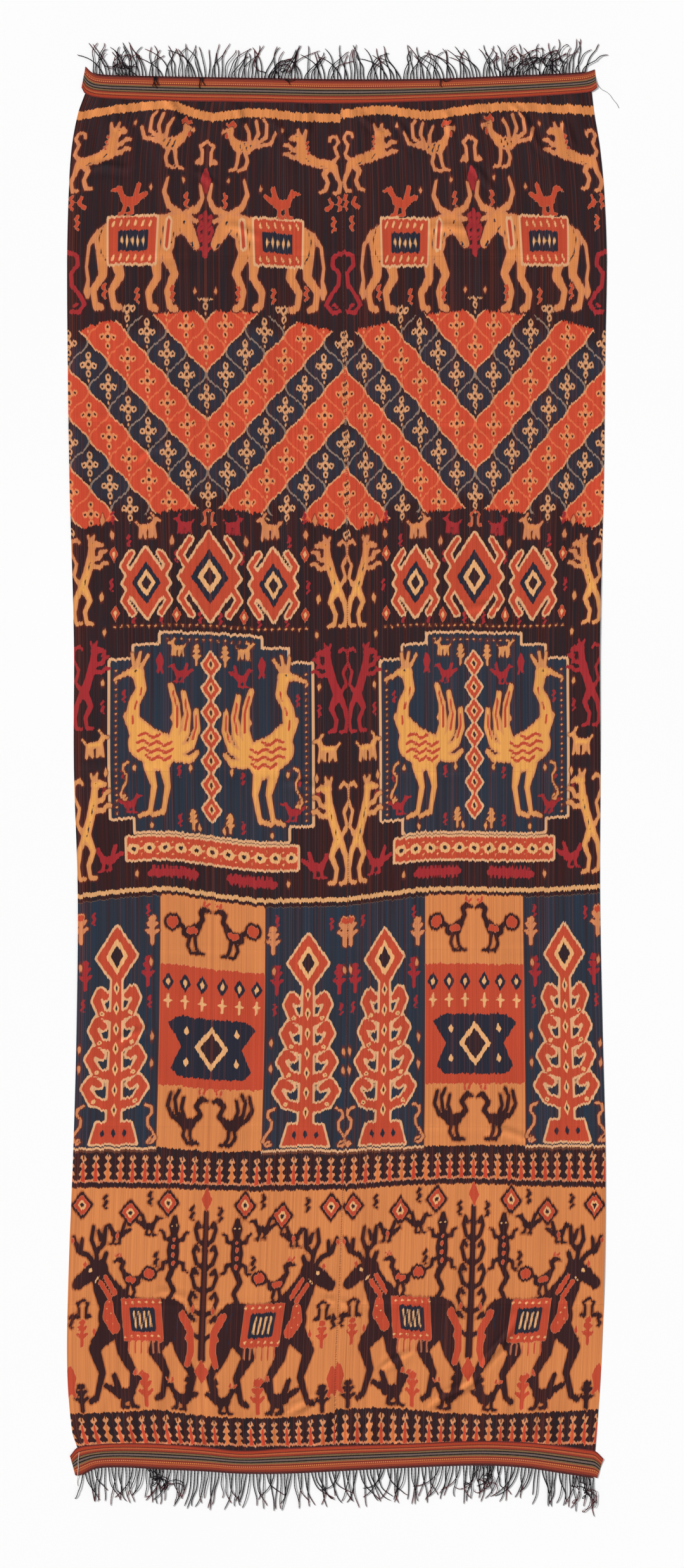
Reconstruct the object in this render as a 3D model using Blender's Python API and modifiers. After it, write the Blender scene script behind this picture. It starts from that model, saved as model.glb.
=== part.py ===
"""A warp ikat wrap laid flat, face up: two loom widths side by side, a striped band woven onto each end of
them, and a twisted fringe beyond each band.

Metres, +Z up. X runs across the cloth, Y along its warp, and the surface it lies on is Z = 0. Tables of
measured edges are in millimetres, in the cloth's own layout; the finished cloth is centred on the origin.
"""

import math
import random

import bmesh
import bpy
from mathutils import Vector

MM = 0.001

# Driving dimensions
CLOTH_THICKNESS = 1.2 * MM
BAND_THICKNESS = 2.0 * MM
GAP = 0.3 * MM  # between neighbouring pieces
PANEL_COLUMNS = 14  # across one loom width
PANEL_ROWS = 44  # along the warp
ROW_CROWDING = 0.45  # how far the rows crowd towards the puckered ends
BAND_ROWS = 2

FRINGE_STRANDS = 148  # at each end
STRAND_WIDTH = 1.9 * MM
STRAND_TIP_WIDTH = 1.1 * MM
STRAND_HEIGHT = 1.7 * MM
STRAND_STEPS = 4
STRIP_DEPTH = 3.0 * MM  # the last woven row, which the strands leave
STRIP_MARGIN = 4.0 * MM  # from the last strand to the strip's end
LEAN_WAVES = ((17, 610, 1.0), (5.5, 118, 2.1), (1.0, 47, 3.7))  # size and wavelength in mm, turn
LEAN_CURVE = 1.6  # above 1, a strand leaves its root straight and bends over later
FLAT_BELOW = 0.5 * MM  # a ripple lower than this lies flat on the surface

# The long edges and the seam between the loom widths: height along the warp, then X of each.
SIDES = (
    # y, left, seam, right
    (1414, -521, 7, 527),
    (1371, -536, 8, 532),
    (1298, -549, 10, 544),
    (1201, -555, 12, 553),
    (1070, -558, 13, 558),
    (873, -557, 16, 555),
    (611, -553, 20, 552),
    (284, -544, 22, 544),
    (22, -544, 24, 545),
    (-240, -536, 23, 544),
    (-502, -538, 21, 549),
    (-764, -545, 15, 555),
    (-1026, -555, 6, 553),
    (-1223, -558, -3, 546),
    (-1354, -548, -4, 537),
    (-1389, -537, -4, 534),
)

# The end bands. Inner is the edge next to the cloth and outer is the fringe's; the first and last rows are
# the flared ends, which stand past the cloth's corners.
TOP_BAND = (
    # inner x, inner y, outer x, outer y
    (-528, 1425, -520, 1469),
    (-521, 1413, -510, 1459),
    (-498, 1405, -494, 1451),
    (-435, 1401, -435, 1448),
    (-304, 1397, -304, 1445),
    (-173, 1395, -173, 1443),
    (4, 1392, 4, 1440),
    (194, 1397, 194, 1441),
    (325, 1402, 325, 1446),
    (443, 1409, 443, 1451),
    (508, 1414, 508, 1455),
    (527, 1417, 525, 1460),
    (538, 1425, 533, 1463),
)
BOTTOM_BAND = (
    # inner x, inner y, outer x, outer y
    (-552, -1406, -541, -1446),
    (-537, -1389, -532, -1446),
    (-500, -1383, -500, -1430),
    (-448, -1380, -448, -1427),
    (-369, -1381, -369, -1431),
    (-278, -1387, -278, -1435),
    (-199, -1395, -199, -1440),
    (-107, -1390, -107, -1440),
    (-3, -1385, -3, -1435),
    (141, -1381, 141, -1428),
    (296, -1375, 296, -1423),
    (390, -1378, 390, -1428),
    (456, -1384, 456, -1438),
    (515, -1392, 515, -1447),
    (534, -1396, 532, -1450),
    (551, -1412, 538, -1452),
)
TOP_FRINGE = {"first": -502, "last": 512, "longest": 68, "seed": 3}
BOTTOM_FRINGE = {"first": -524, "last": 528, "longest": 76, "seed": 8}
SHORTEST_SHARE = 0.82  # of the longest strand, for one in the middle
END_SHORTENING = 0.13  # how much less reaches out from the corners

# Soft ridges that stand off the surface: puckers where the warp is drawn into a band, and storage folds.
RIDGES = (
    # x, y, half width, half length, turn in degrees from the warp, height
    (-470, 1340, 30, 62, 12, 3.2),
    (-354, 1330, 34, 85, 4, 4.6),
    (-235, 1345, 30, 60, -8, 3.4),
    (-110, 1335, 34, 78, 6, 4.2),
    (40, 1340, 36, 70, -5, 3.8),
    (170, 1345, 30, 60, 10, 3.0),
    (290, 1335, 34, 75, -6, 4.4),
    (385, 1325, 30, 92, 32, 5.0),
    (480, 1335, 28, 70, -14, 3.4),
    (-430, -1300, 36, 62, -10, 2.8),
    (-235, -1305, 38, 70, 8, 3.4),
    (-30, -1300, 34, 66, -6, 2.6),
    (205, -1290, 40, 72, 12, 3.2),
    (420, -1300, 36, 66, -12, 3.0),
    (-300, 1076, 26, 270, 91, 2.6),
    (330, 1074, 26, 240, 89, 2.0),
    (80, 732, 26, 330, 90, 2.4),
    (-250, 10, 26, 290, 89, 2.0),
    (60, -1093, 28, 380, 90, 2.8),
    (-536, 640, 26, 190, 2, 3.0),
    (528, 250, 26, 230, -1, 3.0),
    (-520, -420, 26, 240, 1, 3.2),
    (535, -900, 26, 200, 1, 2.8),
)


def smooth(rows, key, column):
    """The value of a column where the first column is key, on a curve through the rows."""
    ordered = sorted(rows)
    last = len(ordered) - 1
    i = max(0, min(last - 1, sum(row[0] <= key for row in ordered) - 1))
    before, start, end, after = (ordered[max(0, min(last, i + k))] for k in (-1, 0, 1, 2))
    span = end[0] - start[0]
    slope_in = (end[column] - before[column]) / (end[0] - before[0]) * span
    slope_out = (after[column] - start[column]) / (after[0] - start[0]) * span
    u = max(0.0, min(1.0, (key - start[0]) / span))
    return (
        start[column] * (2 * u**3 - 3 * u**2 + 1)
        + slope_in * (u**3 - 2 * u**2 + u)
        + end[column] * (3 * u**2 - 2 * u**3)
        + slope_out * (u**3 - u**2)
    )


def ridge_height(x, y):
    """How far the cloth's underside stands off the surface at a place in millimetres, in metres."""
    total = 0.0
    for ridge_x, ridge_y, half_width, half_length, turn, height in RIDGES:
        angle = math.radians(turn)
        dx, dy = x - ridge_x, y - ridge_y
        across = dx * math.cos(angle) + dy * math.sin(angle)
        along = dy * math.cos(angle) - dx * math.sin(angle)
        total += height * math.exp(-((across / half_width) ** 2) - (along / half_length) ** 4)
    return max(0.0, total * MM - FLAT_BELOW)


def outline(t):
    """X of the left edge, seam and right edge, at t from 0 at the bottom band to 1 at the top band."""
    bottom, top = SIDES[-1][0], SIDES[0][0]
    y = bottom + t * (top - bottom)
    return tuple(smooth(SIDES, y, column) for column in (1, 2, 3))


def panel_spans(t):
    """The X range of each loom width at t, with the seam's gap between them."""
    left, seam, right = outline(t)
    half_gap = GAP / MM / 2
    return {"left": (left, seam - half_gap), "right": (seam + half_gap, right)}


def columns_across(t, side):
    low, high = panel_spans(t)[side]
    return [low + (high - low) * c / PANEL_COLUMNS for c in range(PANEL_COLUMNS + 1)]


def band_columns(band, t):
    """The band's places along its inner edge: its flared ends, and each of the panels' columns."""
    inside = columns_across(t, "left") + columns_across(t, "right")
    ends = sorted(band)
    return [ends[0][0], *inside, ends[-1][0]]


def new_material(name, colour, roughness):
    material = bpy.data.materials.new(name)
    material.use_nodes = True
    shader = material.node_tree.nodes["Principled BSDF"]
    shader.inputs["Base Color"].default_value = (*colour, 1.0)
    shader.inputs["Roughness"].default_value = roughness
    shader.inputs["Metallic"].default_value = 0.0
    return material


def add_object(name, mesh_builder, material, collection):
    mesh = bpy.data.meshes.new(name)
    mesh_builder.to_mesh(mesh)
    mesh_builder.free()
    mesh.materials.append(material)
    obj = bpy.data.objects.new(name, mesh)
    collection.objects.link(obj)
    return obj


def grid_sheet(name, places, thickness, material, collection):
    """A sheet through a grid of places, rows of (x, y, z) in metres; its underside is the grid."""
    builder = bmesh.new()
    bmesh.ops.create_grid(builder, x_segments=len(places[0]) - 1, y_segments=len(places) - 1, size=0.5)
    builder.verts.ensure_lookup_table()
    width = len(places[0])
    for index, vert in enumerate(builder.verts):
        vert.co = Vector(places[index // width][index % width])
    obj = add_object(name, builder, material, collection)
    solidify = obj.modifiers.new("thickness", "SOLIDIFY")
    solidify.thickness = thickness
    solidify.offset = 1.0
    solidify.use_even_offset = False
    return obj


def row_places():
    """The panels' rows, as t from 0 to 1, closer together near both bands."""
    rows = []
    for j in range(PANEL_ROWS + 1):
        even = j / PANEL_ROWS
        crowded = 0.5 - 0.5 * math.cos(math.pi * even)
        rows.append(even * (1 - ROW_CROWDING) + crowded * ROW_CROWDING)
    return rows


def make_panel(name, side, material, collection):
    """One loom width. Its ends follow the bands' inner edges, a gap away."""
    gap = GAP / MM
    top = [smooth(TOP_BAND, x, 1) - gap for x in columns_across(1, side)]
    bottom = [smooth(BOTTOM_BAND, x, 1) + gap for x in columns_across(0, side)]
    places = []
    for t in row_places():
        row = []
        for x, low, high in zip(columns_across(t, side), bottom, top):
            y = low + (high - low) * t
            row.append((x * MM, y * MM, ridge_height(x, y)))
        places.append(row)
    return grid_sheet(name, places, CLOTH_THICKNESS, material, collection)


def band_edge(band, t):
    """Inner and outer edge of a band as lists of (x, y), in millimetres."""
    keys = band_columns(band, t)
    inner = [(x, smooth(band, x, 1)) for x in keys]
    outer = [(smooth(band, x, 2), smooth(band, x, 3)) for x in keys]
    return inner, outer


def make_band(name, band, t, material, collection):
    """The striped band woven onto the warp ends, from its inner edge to its outer edge."""
    inner, outer = band_edge(band, t)
    places = []
    for step in range(BAND_ROWS + 1):
        share = step / BAND_ROWS
        share = 1 - share if t == 0 else share
        row = []
        for (inner_x, inner_y), (outer_x, outer_y) in zip(inner, outer):
            x = inner_x + (outer_x - inner_x) * share
            y = inner_y + (outer_y - inner_y) * share
            row.append((x * MM, y * MM, 0.0))
        places.append(row)
    return grid_sheet(name, places, BAND_THICKNESS, material, collection)


def edge_height(edge, x):
    """Y of a band's outer edge at x, on the straight lines between its columns."""
    for (x0, y0), (x1, y1) in zip(edge, edge[1:]):
        if x <= x1:
            return y0 + (y1 - y0) * (x - x0) / (x1 - x0)
    return edge[-1][1]


def strand_lean(x, seed):
    """How far the longest strand's tip stands to the side of its root; neighbours lean alike, so none cross."""
    return sum(
        size * math.sin(2 * math.pi * x / wavelength + turn * seed)
        for size, wavelength, turn in LEAN_WAVES
    )


def strand_ring(builder, centre, direction, width, height):
    """Three points round a strand that lies on the surface: two on it and one on top."""
    side = Vector((-direction.y, direction.x, 0)) * width / 2
    places = (centre + side, centre - side, centre + Vector((0, 0, height)))
    return [builder.verts.new(place) for place in places]


def add_strand(builder, root, root_verts, fringe, length, way):
    """A strand from its root triangle on the strip to its tip, in STRAND_STEPS steps."""
    lean = strand_lean(root[0], fringe["seed"])
    ring = root_verts
    for step in range(1, STRAND_STEPS + 1):
        share = step / STRAND_STEPS
        out = length * share / fringe["longest"]
        centre = Vector((root[0] + lean * out**LEAN_CURVE, root[1] + way * length * share, 0)) * MM
        slope = LEAN_CURVE * lean * out ** (LEAN_CURVE - 1) / fringe["longest"]
        direction = Vector((slope, way, 0)).normalized()
        width = STRAND_WIDTH + (STRAND_TIP_WIDTH - STRAND_WIDTH) * share
        following = strand_ring(builder, centre, direction, width, STRAND_HEIGHT * (1 - 0.3 * share))
        if way < 0:
            following[0], following[1] = following[1], following[0]
        for k in range(3):
            corners = (ring[k], ring[(k + 1) % 3], following[(k + 1) % 3], following[k])
            builder.faces.new(corners)
        ring = following
    builder.faces.new(ring)


def make_fringe(name, edge, fringe, way, material, collection):
    """The last woven row of a band as a narrow strip, with the strands that leave it; way is +1 or -1 in Y."""
    chance = random.Random(fringe["seed"])
    pitch = (fringe["last"] - fringe["first"]) / (FRINGE_STRANDS - 1)
    low = fringe["first"] - STRIP_MARGIN / MM
    high = fringe["last"] + STRIP_MARGIN / MM
    inner_x = [low, *(x for x, _ in edge if low < x < high), high]
    gap, depth = GAP / MM, STRIP_DEPTH / MM
    half = STRAND_WIDTH / MM / 2
    builder = bmesh.new()

    def add_vert(x, offset, z):
        return builder.verts.new((x * MM, (edge_height(edge, x) + way * offset) * MM, z))

    inner_low = [add_vert(x, gap, 0) for x in inner_x]
    inner_high = [add_vert(x, gap, STRAND_HEIGHT) for x in inner_x]
    outer_low, outer_high, roots = [add_vert(low, gap + depth, 0)], [add_vert(low, gap + depth, STRAND_HEIGHT)], []
    for i in range(FRINGE_STRANDS):
        x = fringe["first"] + i * pitch
        left, right = add_vert(x - half, gap + depth, 0), add_vert(x + half, gap + depth, 0)
        top = add_vert(x, gap + depth, STRAND_HEIGHT)
        roots.append((x, left, right, top))
        outer_low += [left, right]
        outer_high.append(top)
    outer_low.append(add_vert(high, gap + depth, 0))
    outer_high.append(add_vert(high, gap + depth, STRAND_HEIGHT))

    builder.faces.new(inner_low + outer_low[::-1])
    builder.faces.new(inner_high + outer_high[::-1])
    for k in range(len(inner_x) - 1):
        builder.faces.new((inner_low[k], inner_low[k + 1], inner_high[k + 1], inner_high[k]))
    builder.faces.new((inner_low[0], inner_high[0], outer_high[0], outer_low[0]))
    builder.faces.new((inner_low[-1], inner_high[-1], outer_high[-1], outer_low[-1]))
    for k in range(len(outer_high) - 1):
        builder.faces.new((outer_low[2 * k], outer_low[2 * k + 1], outer_high[k + 1], outer_high[k]))
    for x, left, right, top in roots:
        root = (x, edge_height(edge, x) + way * (gap + depth))
        reach = 1 - END_SHORTENING * abs(x) / fringe["last"]
        length = fringe["longest"] * reach * chance.uniform(SHORTEST_SHARE, 1.0)
        add_strand(builder, root, [left, right, top], fringe, length, way)
    bmesh.ops.recalc_face_normals(builder, faces=builder.faces)
    bmesh.ops.triangulate(builder, faces=builder.faces)
    return add_object(name, builder, material, collection)


def centre_on_origin(objects):
    """Moves the cloth's points so that its overall outline is centred on the origin."""
    points = [vert.co for obj in objects for vert in obj.data.vertices]
    middle = Vector(
        (
            (min(p.x for p in points) + max(p.x for p in points)) / 2,
            (min(p.y for p in points) + max(p.y for p in points)) / 2,
            0,
        )
    )
    for obj in objects:
        for vert in obj.data.vertices:
            vert.co -= middle


def main():
    for obj in list(bpy.data.objects):
        bpy.data.objects.remove(obj)
    collection = bpy.data.collections.new("ikat_wrap")
    bpy.context.scene.collection.children.link(collection)
    cloth = new_material("ikat_cotton", (0.32, 0.10, 0.05), 0.85)
    striped = new_material("striped_band", (0.40, 0.10, 0.05), 0.8)
    yarn = new_material("fringe_yarn", (0.03, 0.022, 0.024), 0.8)

    top_edge = band_edge(TOP_BAND, 1)[1]
    bottom_edge = band_edge(BOTTOM_BAND, 0)[1]
    objects = [
        make_panel("left_loom_width", "left", cloth, collection),
        make_panel("right_loom_width", "right", cloth, collection),
        make_band("top_band", TOP_BAND, 1, striped, collection),
        make_band("bottom_band", BOTTOM_BAND, 0, striped, collection),
        make_fringe("top_fringe", top_edge, TOP_FRINGE, 1, yarn, collection),
        make_fringe("bottom_fringe", bottom_edge, BOTTOM_FRINGE, -1, yarn, collection),
    ]
    centre_on_origin(objects)


main()
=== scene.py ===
import math

import bpy
import numpy as np
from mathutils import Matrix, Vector


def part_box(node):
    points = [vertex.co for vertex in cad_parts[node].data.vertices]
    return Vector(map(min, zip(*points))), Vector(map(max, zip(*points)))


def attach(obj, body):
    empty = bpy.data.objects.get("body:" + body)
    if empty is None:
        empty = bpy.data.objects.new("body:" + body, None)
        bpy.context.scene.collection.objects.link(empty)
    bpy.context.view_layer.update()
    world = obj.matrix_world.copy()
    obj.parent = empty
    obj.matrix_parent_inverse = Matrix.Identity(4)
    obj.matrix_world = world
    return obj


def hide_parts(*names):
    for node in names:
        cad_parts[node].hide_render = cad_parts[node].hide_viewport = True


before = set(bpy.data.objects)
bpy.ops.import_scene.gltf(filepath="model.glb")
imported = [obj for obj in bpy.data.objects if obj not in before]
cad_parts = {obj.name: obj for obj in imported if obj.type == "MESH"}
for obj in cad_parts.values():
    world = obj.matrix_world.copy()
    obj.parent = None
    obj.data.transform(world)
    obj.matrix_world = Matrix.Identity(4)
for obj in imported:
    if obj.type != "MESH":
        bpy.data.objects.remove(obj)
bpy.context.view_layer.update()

# A warp ikat wrap laid flat: two patterned loom widths joined down the middle, a striped band woven across
# each end, and a twisted fringe beyond each band. Everything is in metres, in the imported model's frame.

# The camera. The cloth lies on a board and is seen face on, from straight above, with its long side upright
# in the picture. The layout below is in millimetres, from a point near the middle of the cloth.
MM = 0.001
TOP_BAND_LEFT_TIP = (-528, 1469)  # lowest X and highest Y of the top band in the cloth's own layout
PHOTO_CENTRE = (10.5, -15.7)  # of the picture, in the same layout
PHOTO_HEIGHT = 3244.9  # of what the picture shows, from its top to its bottom
LENS = 85.0
SENSOR = 36.0
VIEW_DEPTH = 100.0  # metres

top_band_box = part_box("top_band")
SHIFT_X = top_band_box[0][0] - TOP_BAND_LEFT_TIP[0] * MM
SHIFT_Y = top_band_box[1][1] - TOP_BAND_LEFT_TIP[1] * MM


def place(x, y, z=0.0):
    """A point of the layout, in millimetres, as metres in the model's frame."""
    return (x * MM + SHIFT_X, y * MM + SHIFT_Y, z)


def new_object(name, data):
    """An object of the scene that holds a mesh, a curve, a camera or a light."""
    obj = bpy.data.objects.new(name, data)
    bpy.context.scene.collection.objects.link(obj)
    return obj


camera_data = bpy.data.cameras.new("camera")
camera_data.lens = LENS
camera_data.sensor_width = SENSOR
camera_data.clip_end = VIEW_DEPTH
camera = new_object("camera", camera_data)
camera.location = place(*PHOTO_CENTRE, PHOTO_HEIGHT * MM * LENS / SENSOR)
bpy.context.scene.camera = camera


# The surface and the light. A pale seamless board under an even white sky. A soft low sun from the upper
# left brings out the folds, and a weak wide one from the lower right opens their shadows.
FLOOR_SIZE = 14.0
FLOOR_CORNERS = 9  # along each side
FLOOR_DROP = 0.2 * MM  # below the cloth
SKY_STRENGTH = 0.42


class Value:
    """A socket of a node tree, used in sums like a number."""

    def __init__(self, tree, socket=None):
        self.tree = tree
        self.socket = socket

    def node(self, kind, settings=None, inputs=None, output=0):
        """Adds a node: its settings or ramp stops first, then its inputs, each a plain value or a socket."""
        node = self.tree.nodes.new(kind)
        settings = dict(settings or {})
        stops = settings.pop("stops", ())
        for name, setting in settings.items():
            setattr(node, name, setting)
        if stops:
            elements = node.color_ramp.elements
            node.color_ramp.interpolation = "CONSTANT"
            for where, _ in stops[1:]:
                elements.new(where)
            elements.remove(elements[-1])
            for element, (_, shade) in zip(elements, stops):
                element.color = shade
        for key, value in (inputs or {}).items():
            if isinstance(value, Value):
                value = [value]
            if isinstance(value, list):
                for source in value:
                    self.tree.links.new(source.socket, node.inputs[key])
            else:
                node.inputs[key].default_value = value
        return Value(self.tree, node.outputs[output])

    def maths(self, operation, first, second=0.0):
        return self.node("ShaderNodeMath", {"operation": operation}, {0: first, 1: second})

    def __add__(self, other):
        return self.maths("ADD", self, other)

    def __sub__(self, other):
        return self.maths("SUBTRACT", self, other)

    def __rsub__(self, other):
        return self.maths("SUBTRACT", other, self)

    def __mul__(self, other):
        return self.maths("MULTIPLY", self, other)

    def __truediv__(self, other):
        return self.maths("DIVIDE", self, other)

    def __neg__(self):
        return self * -1.0

    def __abs__(self):
        return self.maths("ABSOLUTE", self)

    __radd__ = __add__
    __rmul__ = __mul__

    def least(self, other):
        return self.maths("MINIMUM", self, other)

    def most(self, other):
        return self.maths("MAXIMUM", self, other)

    def nearest_whole(self):
        return self.maths("ROUND", self)

    def whole(self):
        return self.maths("FLOOR", self)

    def cosine(self):
        return self.maths("COSINE", self)

    def sine(self):
        return self.maths("SINE", self)

    def power(self, exponent):
        return self.maths("POWER", self, exponent)

    def inside(self, softness=1.0):
        """1 where this distance is below zero and 0 where it is above, over a soft edge."""
        settings = {"operation": "MULTIPLY_ADD", "use_clamp": True}
        return self.node("ShaderNodeMath", settings, {0: self, 1: -1.0 / softness, 2: 0.5})

    def over(self, new_colour, mask):
        """This colour with another laid over it where mask is 1."""
        return colour_mix(self, new_colour, mask)

    def scaled(self, factor):
        """This colour made lighter or darker."""
        return self.node("ShaderNodeVectorMath", {"operation": "SCALE"}, {0: self, "Scale": factor})

    def parts(self):
        """The three numbers of a vector."""
        node = self.node("ShaderNodeSeparateXYZ", inputs={0: self})
        outputs = node.socket.node.outputs
        return [Value(self.tree, output) for output in outputs]

    def stored(self, label):
        """The three numbers that a mesh keeps at each corner under a label."""
        return self.node("ShaderNodeAttribute", {"attribute_name": label}, output=1).parts()

    def vector(self, x, y, z=0.0):
        return self.node("ShaderNodeCombineXYZ", inputs={0: x, 1: y, 2: z})

    def noise(self, x, y=0.0, detail=2.0):
        """Smooth noise from 0 to 1 over two coordinates."""
        inputs = {"Vector": self.vector(x, y), "Scale": 1.0, "Detail": detail}
        return self.node("ShaderNodeTexNoise", inputs=inputs)

    def speckle(self, x):
        """An unrelated number from 0 to 1 for each value of x."""
        return self.node("ShaderNodeTexWhiteNoise", {"noise_dimensions": "1D"}, {"W": x})


def colour(red, green, blue):
    """A colour from its 0 to 255 parts as a screen shows them, as linear light with full alpha."""
    parts = [c / 255 for c in (red, green, blue)]
    return (*(p / 12.92 if p <= 0.04045 else ((p + 0.055) / 1.055) ** 2.4 for p in parts), 1.0)


def finish(name, roughness=0.85):
    """A new material, a start value in its tree, and its shader's node."""
    material = bpy.data.materials.new(name)
    material.use_nodes = True
    tree = material.node_tree
    shader = tree.nodes["Principled BSDF"]
    shader.inputs["Roughness"].default_value = roughness
    shader.inputs["Specular IOR Level"].default_value = 0.05
    return material, Value(tree), shader


def feed(value, shader, socket):
    value.tree.links.new(value.socket, shader.inputs[socket])


def emboss(height, shader, strength, depth):
    """Gives a finish a fine relief that follows height."""
    inputs = {"Strength": strength, "Distance": depth, "Height": height}
    feed(height.node("ShaderNodeBump", inputs=inputs), shader, "Normal")


def colour_mix(first, second, mask):
    """The first colour where mask is 0 and the second where it is 1; either may be a plain colour."""
    settings = {"data_type": "RGBA", "clamp_factor": True}
    return mask.node("ShaderNodeMix", settings, {0: mask, 6: first, 7: second}, output=2)


def add_vectors(obj, label, values):
    """Stores one vector at each corner of a mesh, for its finish to read."""
    attribute = obj.data.attributes.new(label, "FLOAT_VECTOR", "POINT")
    attribute.data.foreach_set("vector", values.reshape(-1).astype(np.float32))


def mesh_object(name, places, faces, material):
    mesh = bpy.data.meshes.new(name)
    mesh.from_pydata(places, [], faces)
    mesh.materials.append(material)
    return new_object(name, mesh)


TURNED_OVER = (0, 3, 2, 1)  # a face's corners, taken the other way round


def grid_faces(grid, order=(0, 1, 2, 3)):
    """The faces of a grid of corner numbers, each with its corners in this order."""
    corners = [grid[:-1, :-1], grid[:-1, 1:], grid[1:, 1:], grid[1:, :-1]]
    return np.stack([corners[k] for k in order], -1).reshape(-1, 4)


board_finish, start, shader = finish("pale_board", 0.9)
position = start.node("ShaderNodeTexCoord", output=3)
mottle = start.node("ShaderNodeTexNoise", inputs={"Vector": position, "Scale": 1.5, "Detail": 2.0})
board = colour_mix(colour(247, 247, 247), colour(250, 250, 250), mottle)
feed(board, shader, "Base Color")
steps = [(k / (FLOOR_CORNERS - 1) - 0.5) * FLOOR_SIZE for k in range(FLOOR_CORNERS)]
floor_places = [(x, y, -FLOOR_DROP) for y in steps for x in steps]
floor_grid = np.arange(FLOOR_CORNERS**2).reshape(FLOOR_CORNERS, FLOOR_CORNERS)
floor = mesh_object("floor", floor_places, grid_faces(floor_grid).tolist(), board_finish)

world = bpy.data.worlds.new("studio")
world.use_nodes = True
sky = world.node_tree.nodes["Background"]
sky.inputs["Color"].default_value = (1, 1, 1, 1)
sky.inputs["Strength"].default_value = SKY_STRENGTH
bpy.context.scene.world = world
bpy.context.scene.view_settings.view_transform = "Standard"
# Name, where it shines from, how wide its disc is in degrees, and its strength.
LIGHTS = (
    ("key_light", (-4.6, 2.6, 3.9), 14, 2.9),
    ("fill_light", (3.4, -3.4, 6.0), 40, 0.28),
)
for name, spot, spread, strength in LIGHTS:
    light_data = bpy.data.lights.new(name, "SUN")
    light_data.angle = math.radians(spread)
    light_data.energy = strength
    light = new_object(name, light_data)
    light.location = spot
    light.rotation_euler = (-Vector(spot)).to_track_quat("-Z", "Y").to_euler()


# The loom widths. Two lengths of warp-faced cotton from one warp, its threads tied and dyed before weaving,
# laid side by side, selvedge to selvedge. The warp is drawn in a little at both end bands.
PATTERN_HALF = 268.0  # from a loom width's own middle to its edge, in the pattern's millimetres
FAR = 40.0  # a distance that counts as nowhere near
CLOTH_THICKNESS = 1.2 * MM
GAP = 0.3  # between neighbouring pieces
COLUMNS = 130  # of the fine upper face of one loom width
ROWS = 560
COARSE_STEP = 2  # fine columns or rows to each one of the underside
SELVEDGE_DROP = 0.5 * MM  # of the outermost threads
FLAT_BELOW = 0.5 * MM  # a lower ridge lies flat

# The long edges and the seam: height along the warp, then X of each, in millimetres.
SIDES = (
    (1414, -521, 7, 527),
    (1371, -536, 8, 532),
    (1298, -549, 10, 544),
    (1201, -555, 12, 553),
    (1070, -558, 13, 558),
    (873, -557, 16, 555),
    (611, -553, 20, 552),
    (284, -544, 22, 544),
    (22, -544, 24, 545),
    (-240, -536, 23, 544),
    (-502, -538, 21, 549),
    (-764, -545, 15, 555),
    (-1026, -555, 6, 553),
    (-1223, -558, -3, 546),
    (-1354, -548, -4, 537),
    (-1389, -537, -4, 534),
)
# The end bands: x and y of the edge next to the cloth, then of the edge next to the fringe.
TOP_BAND = (
    (-528, 1425, -520, 1469),
    (-521, 1413, -510, 1459),
    (-498, 1405, -494, 1451),
    (-435, 1401, -435, 1448),
    (-304, 1397, -304, 1445),
    (-173, 1395, -173, 1443),
    (4, 1392, 4, 1440),
    (194, 1397, 194, 1441),
    (325, 1402, 325, 1446),
    (443, 1409, 443, 1451),
    (508, 1414, 508, 1455),
    (527, 1417, 525, 1460),
    (538, 1425, 533, 1463),
)
BOTTOM_BAND = (
    (-552, -1406, -541, -1446),
    (-537, -1389, -532, -1446),
    (-500, -1383, -500, -1430),
    (-448, -1380, -448, -1427),
    (-369, -1381, -369, -1431),
    (-278, -1387, -278, -1435),
    (-199, -1395, -199, -1440),
    (-107, -1390, -107, -1440),
    (-3, -1385, -3, -1435),
    (141, -1381, 141, -1428),
    (296, -1375, 296, -1423),
    (390, -1378, 390, -1428),
    (456, -1384, 456, -1438),
    (515, -1392, 515, -1447),
    (534, -1396, 532, -1450),
    (551, -1412, 538, -1452),
)
# Soft ridges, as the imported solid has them: x, y, half width, half length, degrees from the warp, height.
RIDGES = (
    (-470, 1340, 30, 62, 12, 3.2),
    (-354, 1330, 34, 85, 4, 4.6),
    (-235, 1345, 30, 60, -8, 3.4),
    (-110, 1335, 34, 78, 6, 4.2),
    (40, 1340, 36, 70, -5, 3.8),
    (170, 1345, 30, 60, 10, 3.0),
    (290, 1335, 34, 75, -6, 4.4),
    (385, 1325, 30, 92, 32, 5.0),
    (480, 1335, 28, 70, -14, 3.4),
    (-430, -1300, 36, 62, -10, 2.8),
    (-235, -1305, 38, 70, 8, 3.4),
    (-30, -1300, 34, 66, -6, 2.6),
    (205, -1290, 40, 72, 12, 3.2),
    (420, -1300, 36, 66, -12, 3.0),
    (-300, 1076, 26, 270, 91, 2.6),
    (330, 1074, 26, 240, 89, 2.0),
    (80, 732, 26, 330, 90, 2.4),
    (-250, 10, 26, 290, 89, 2.0),
    (60, -1093, 28, 380, 90, 2.8),
    (-536, 640, 26, 190, 2, 3.0),
    (528, 250, 26, 230, -1, 3.0),
    (-520, -420, 26, 240, 1, 3.2),
    (535, -900, 26, 200, 1, 2.8),
)
# Creases from folding the cloth away, across the warp: height along the warp, then how sharp each is.
STORAGE_FOLDS = ((1076, 0.9), (732, 0.8), (371, 0.35), (10, 0.8), (-358, 0.35), (-725, 0.4), (-1093, 0.9))
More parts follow.
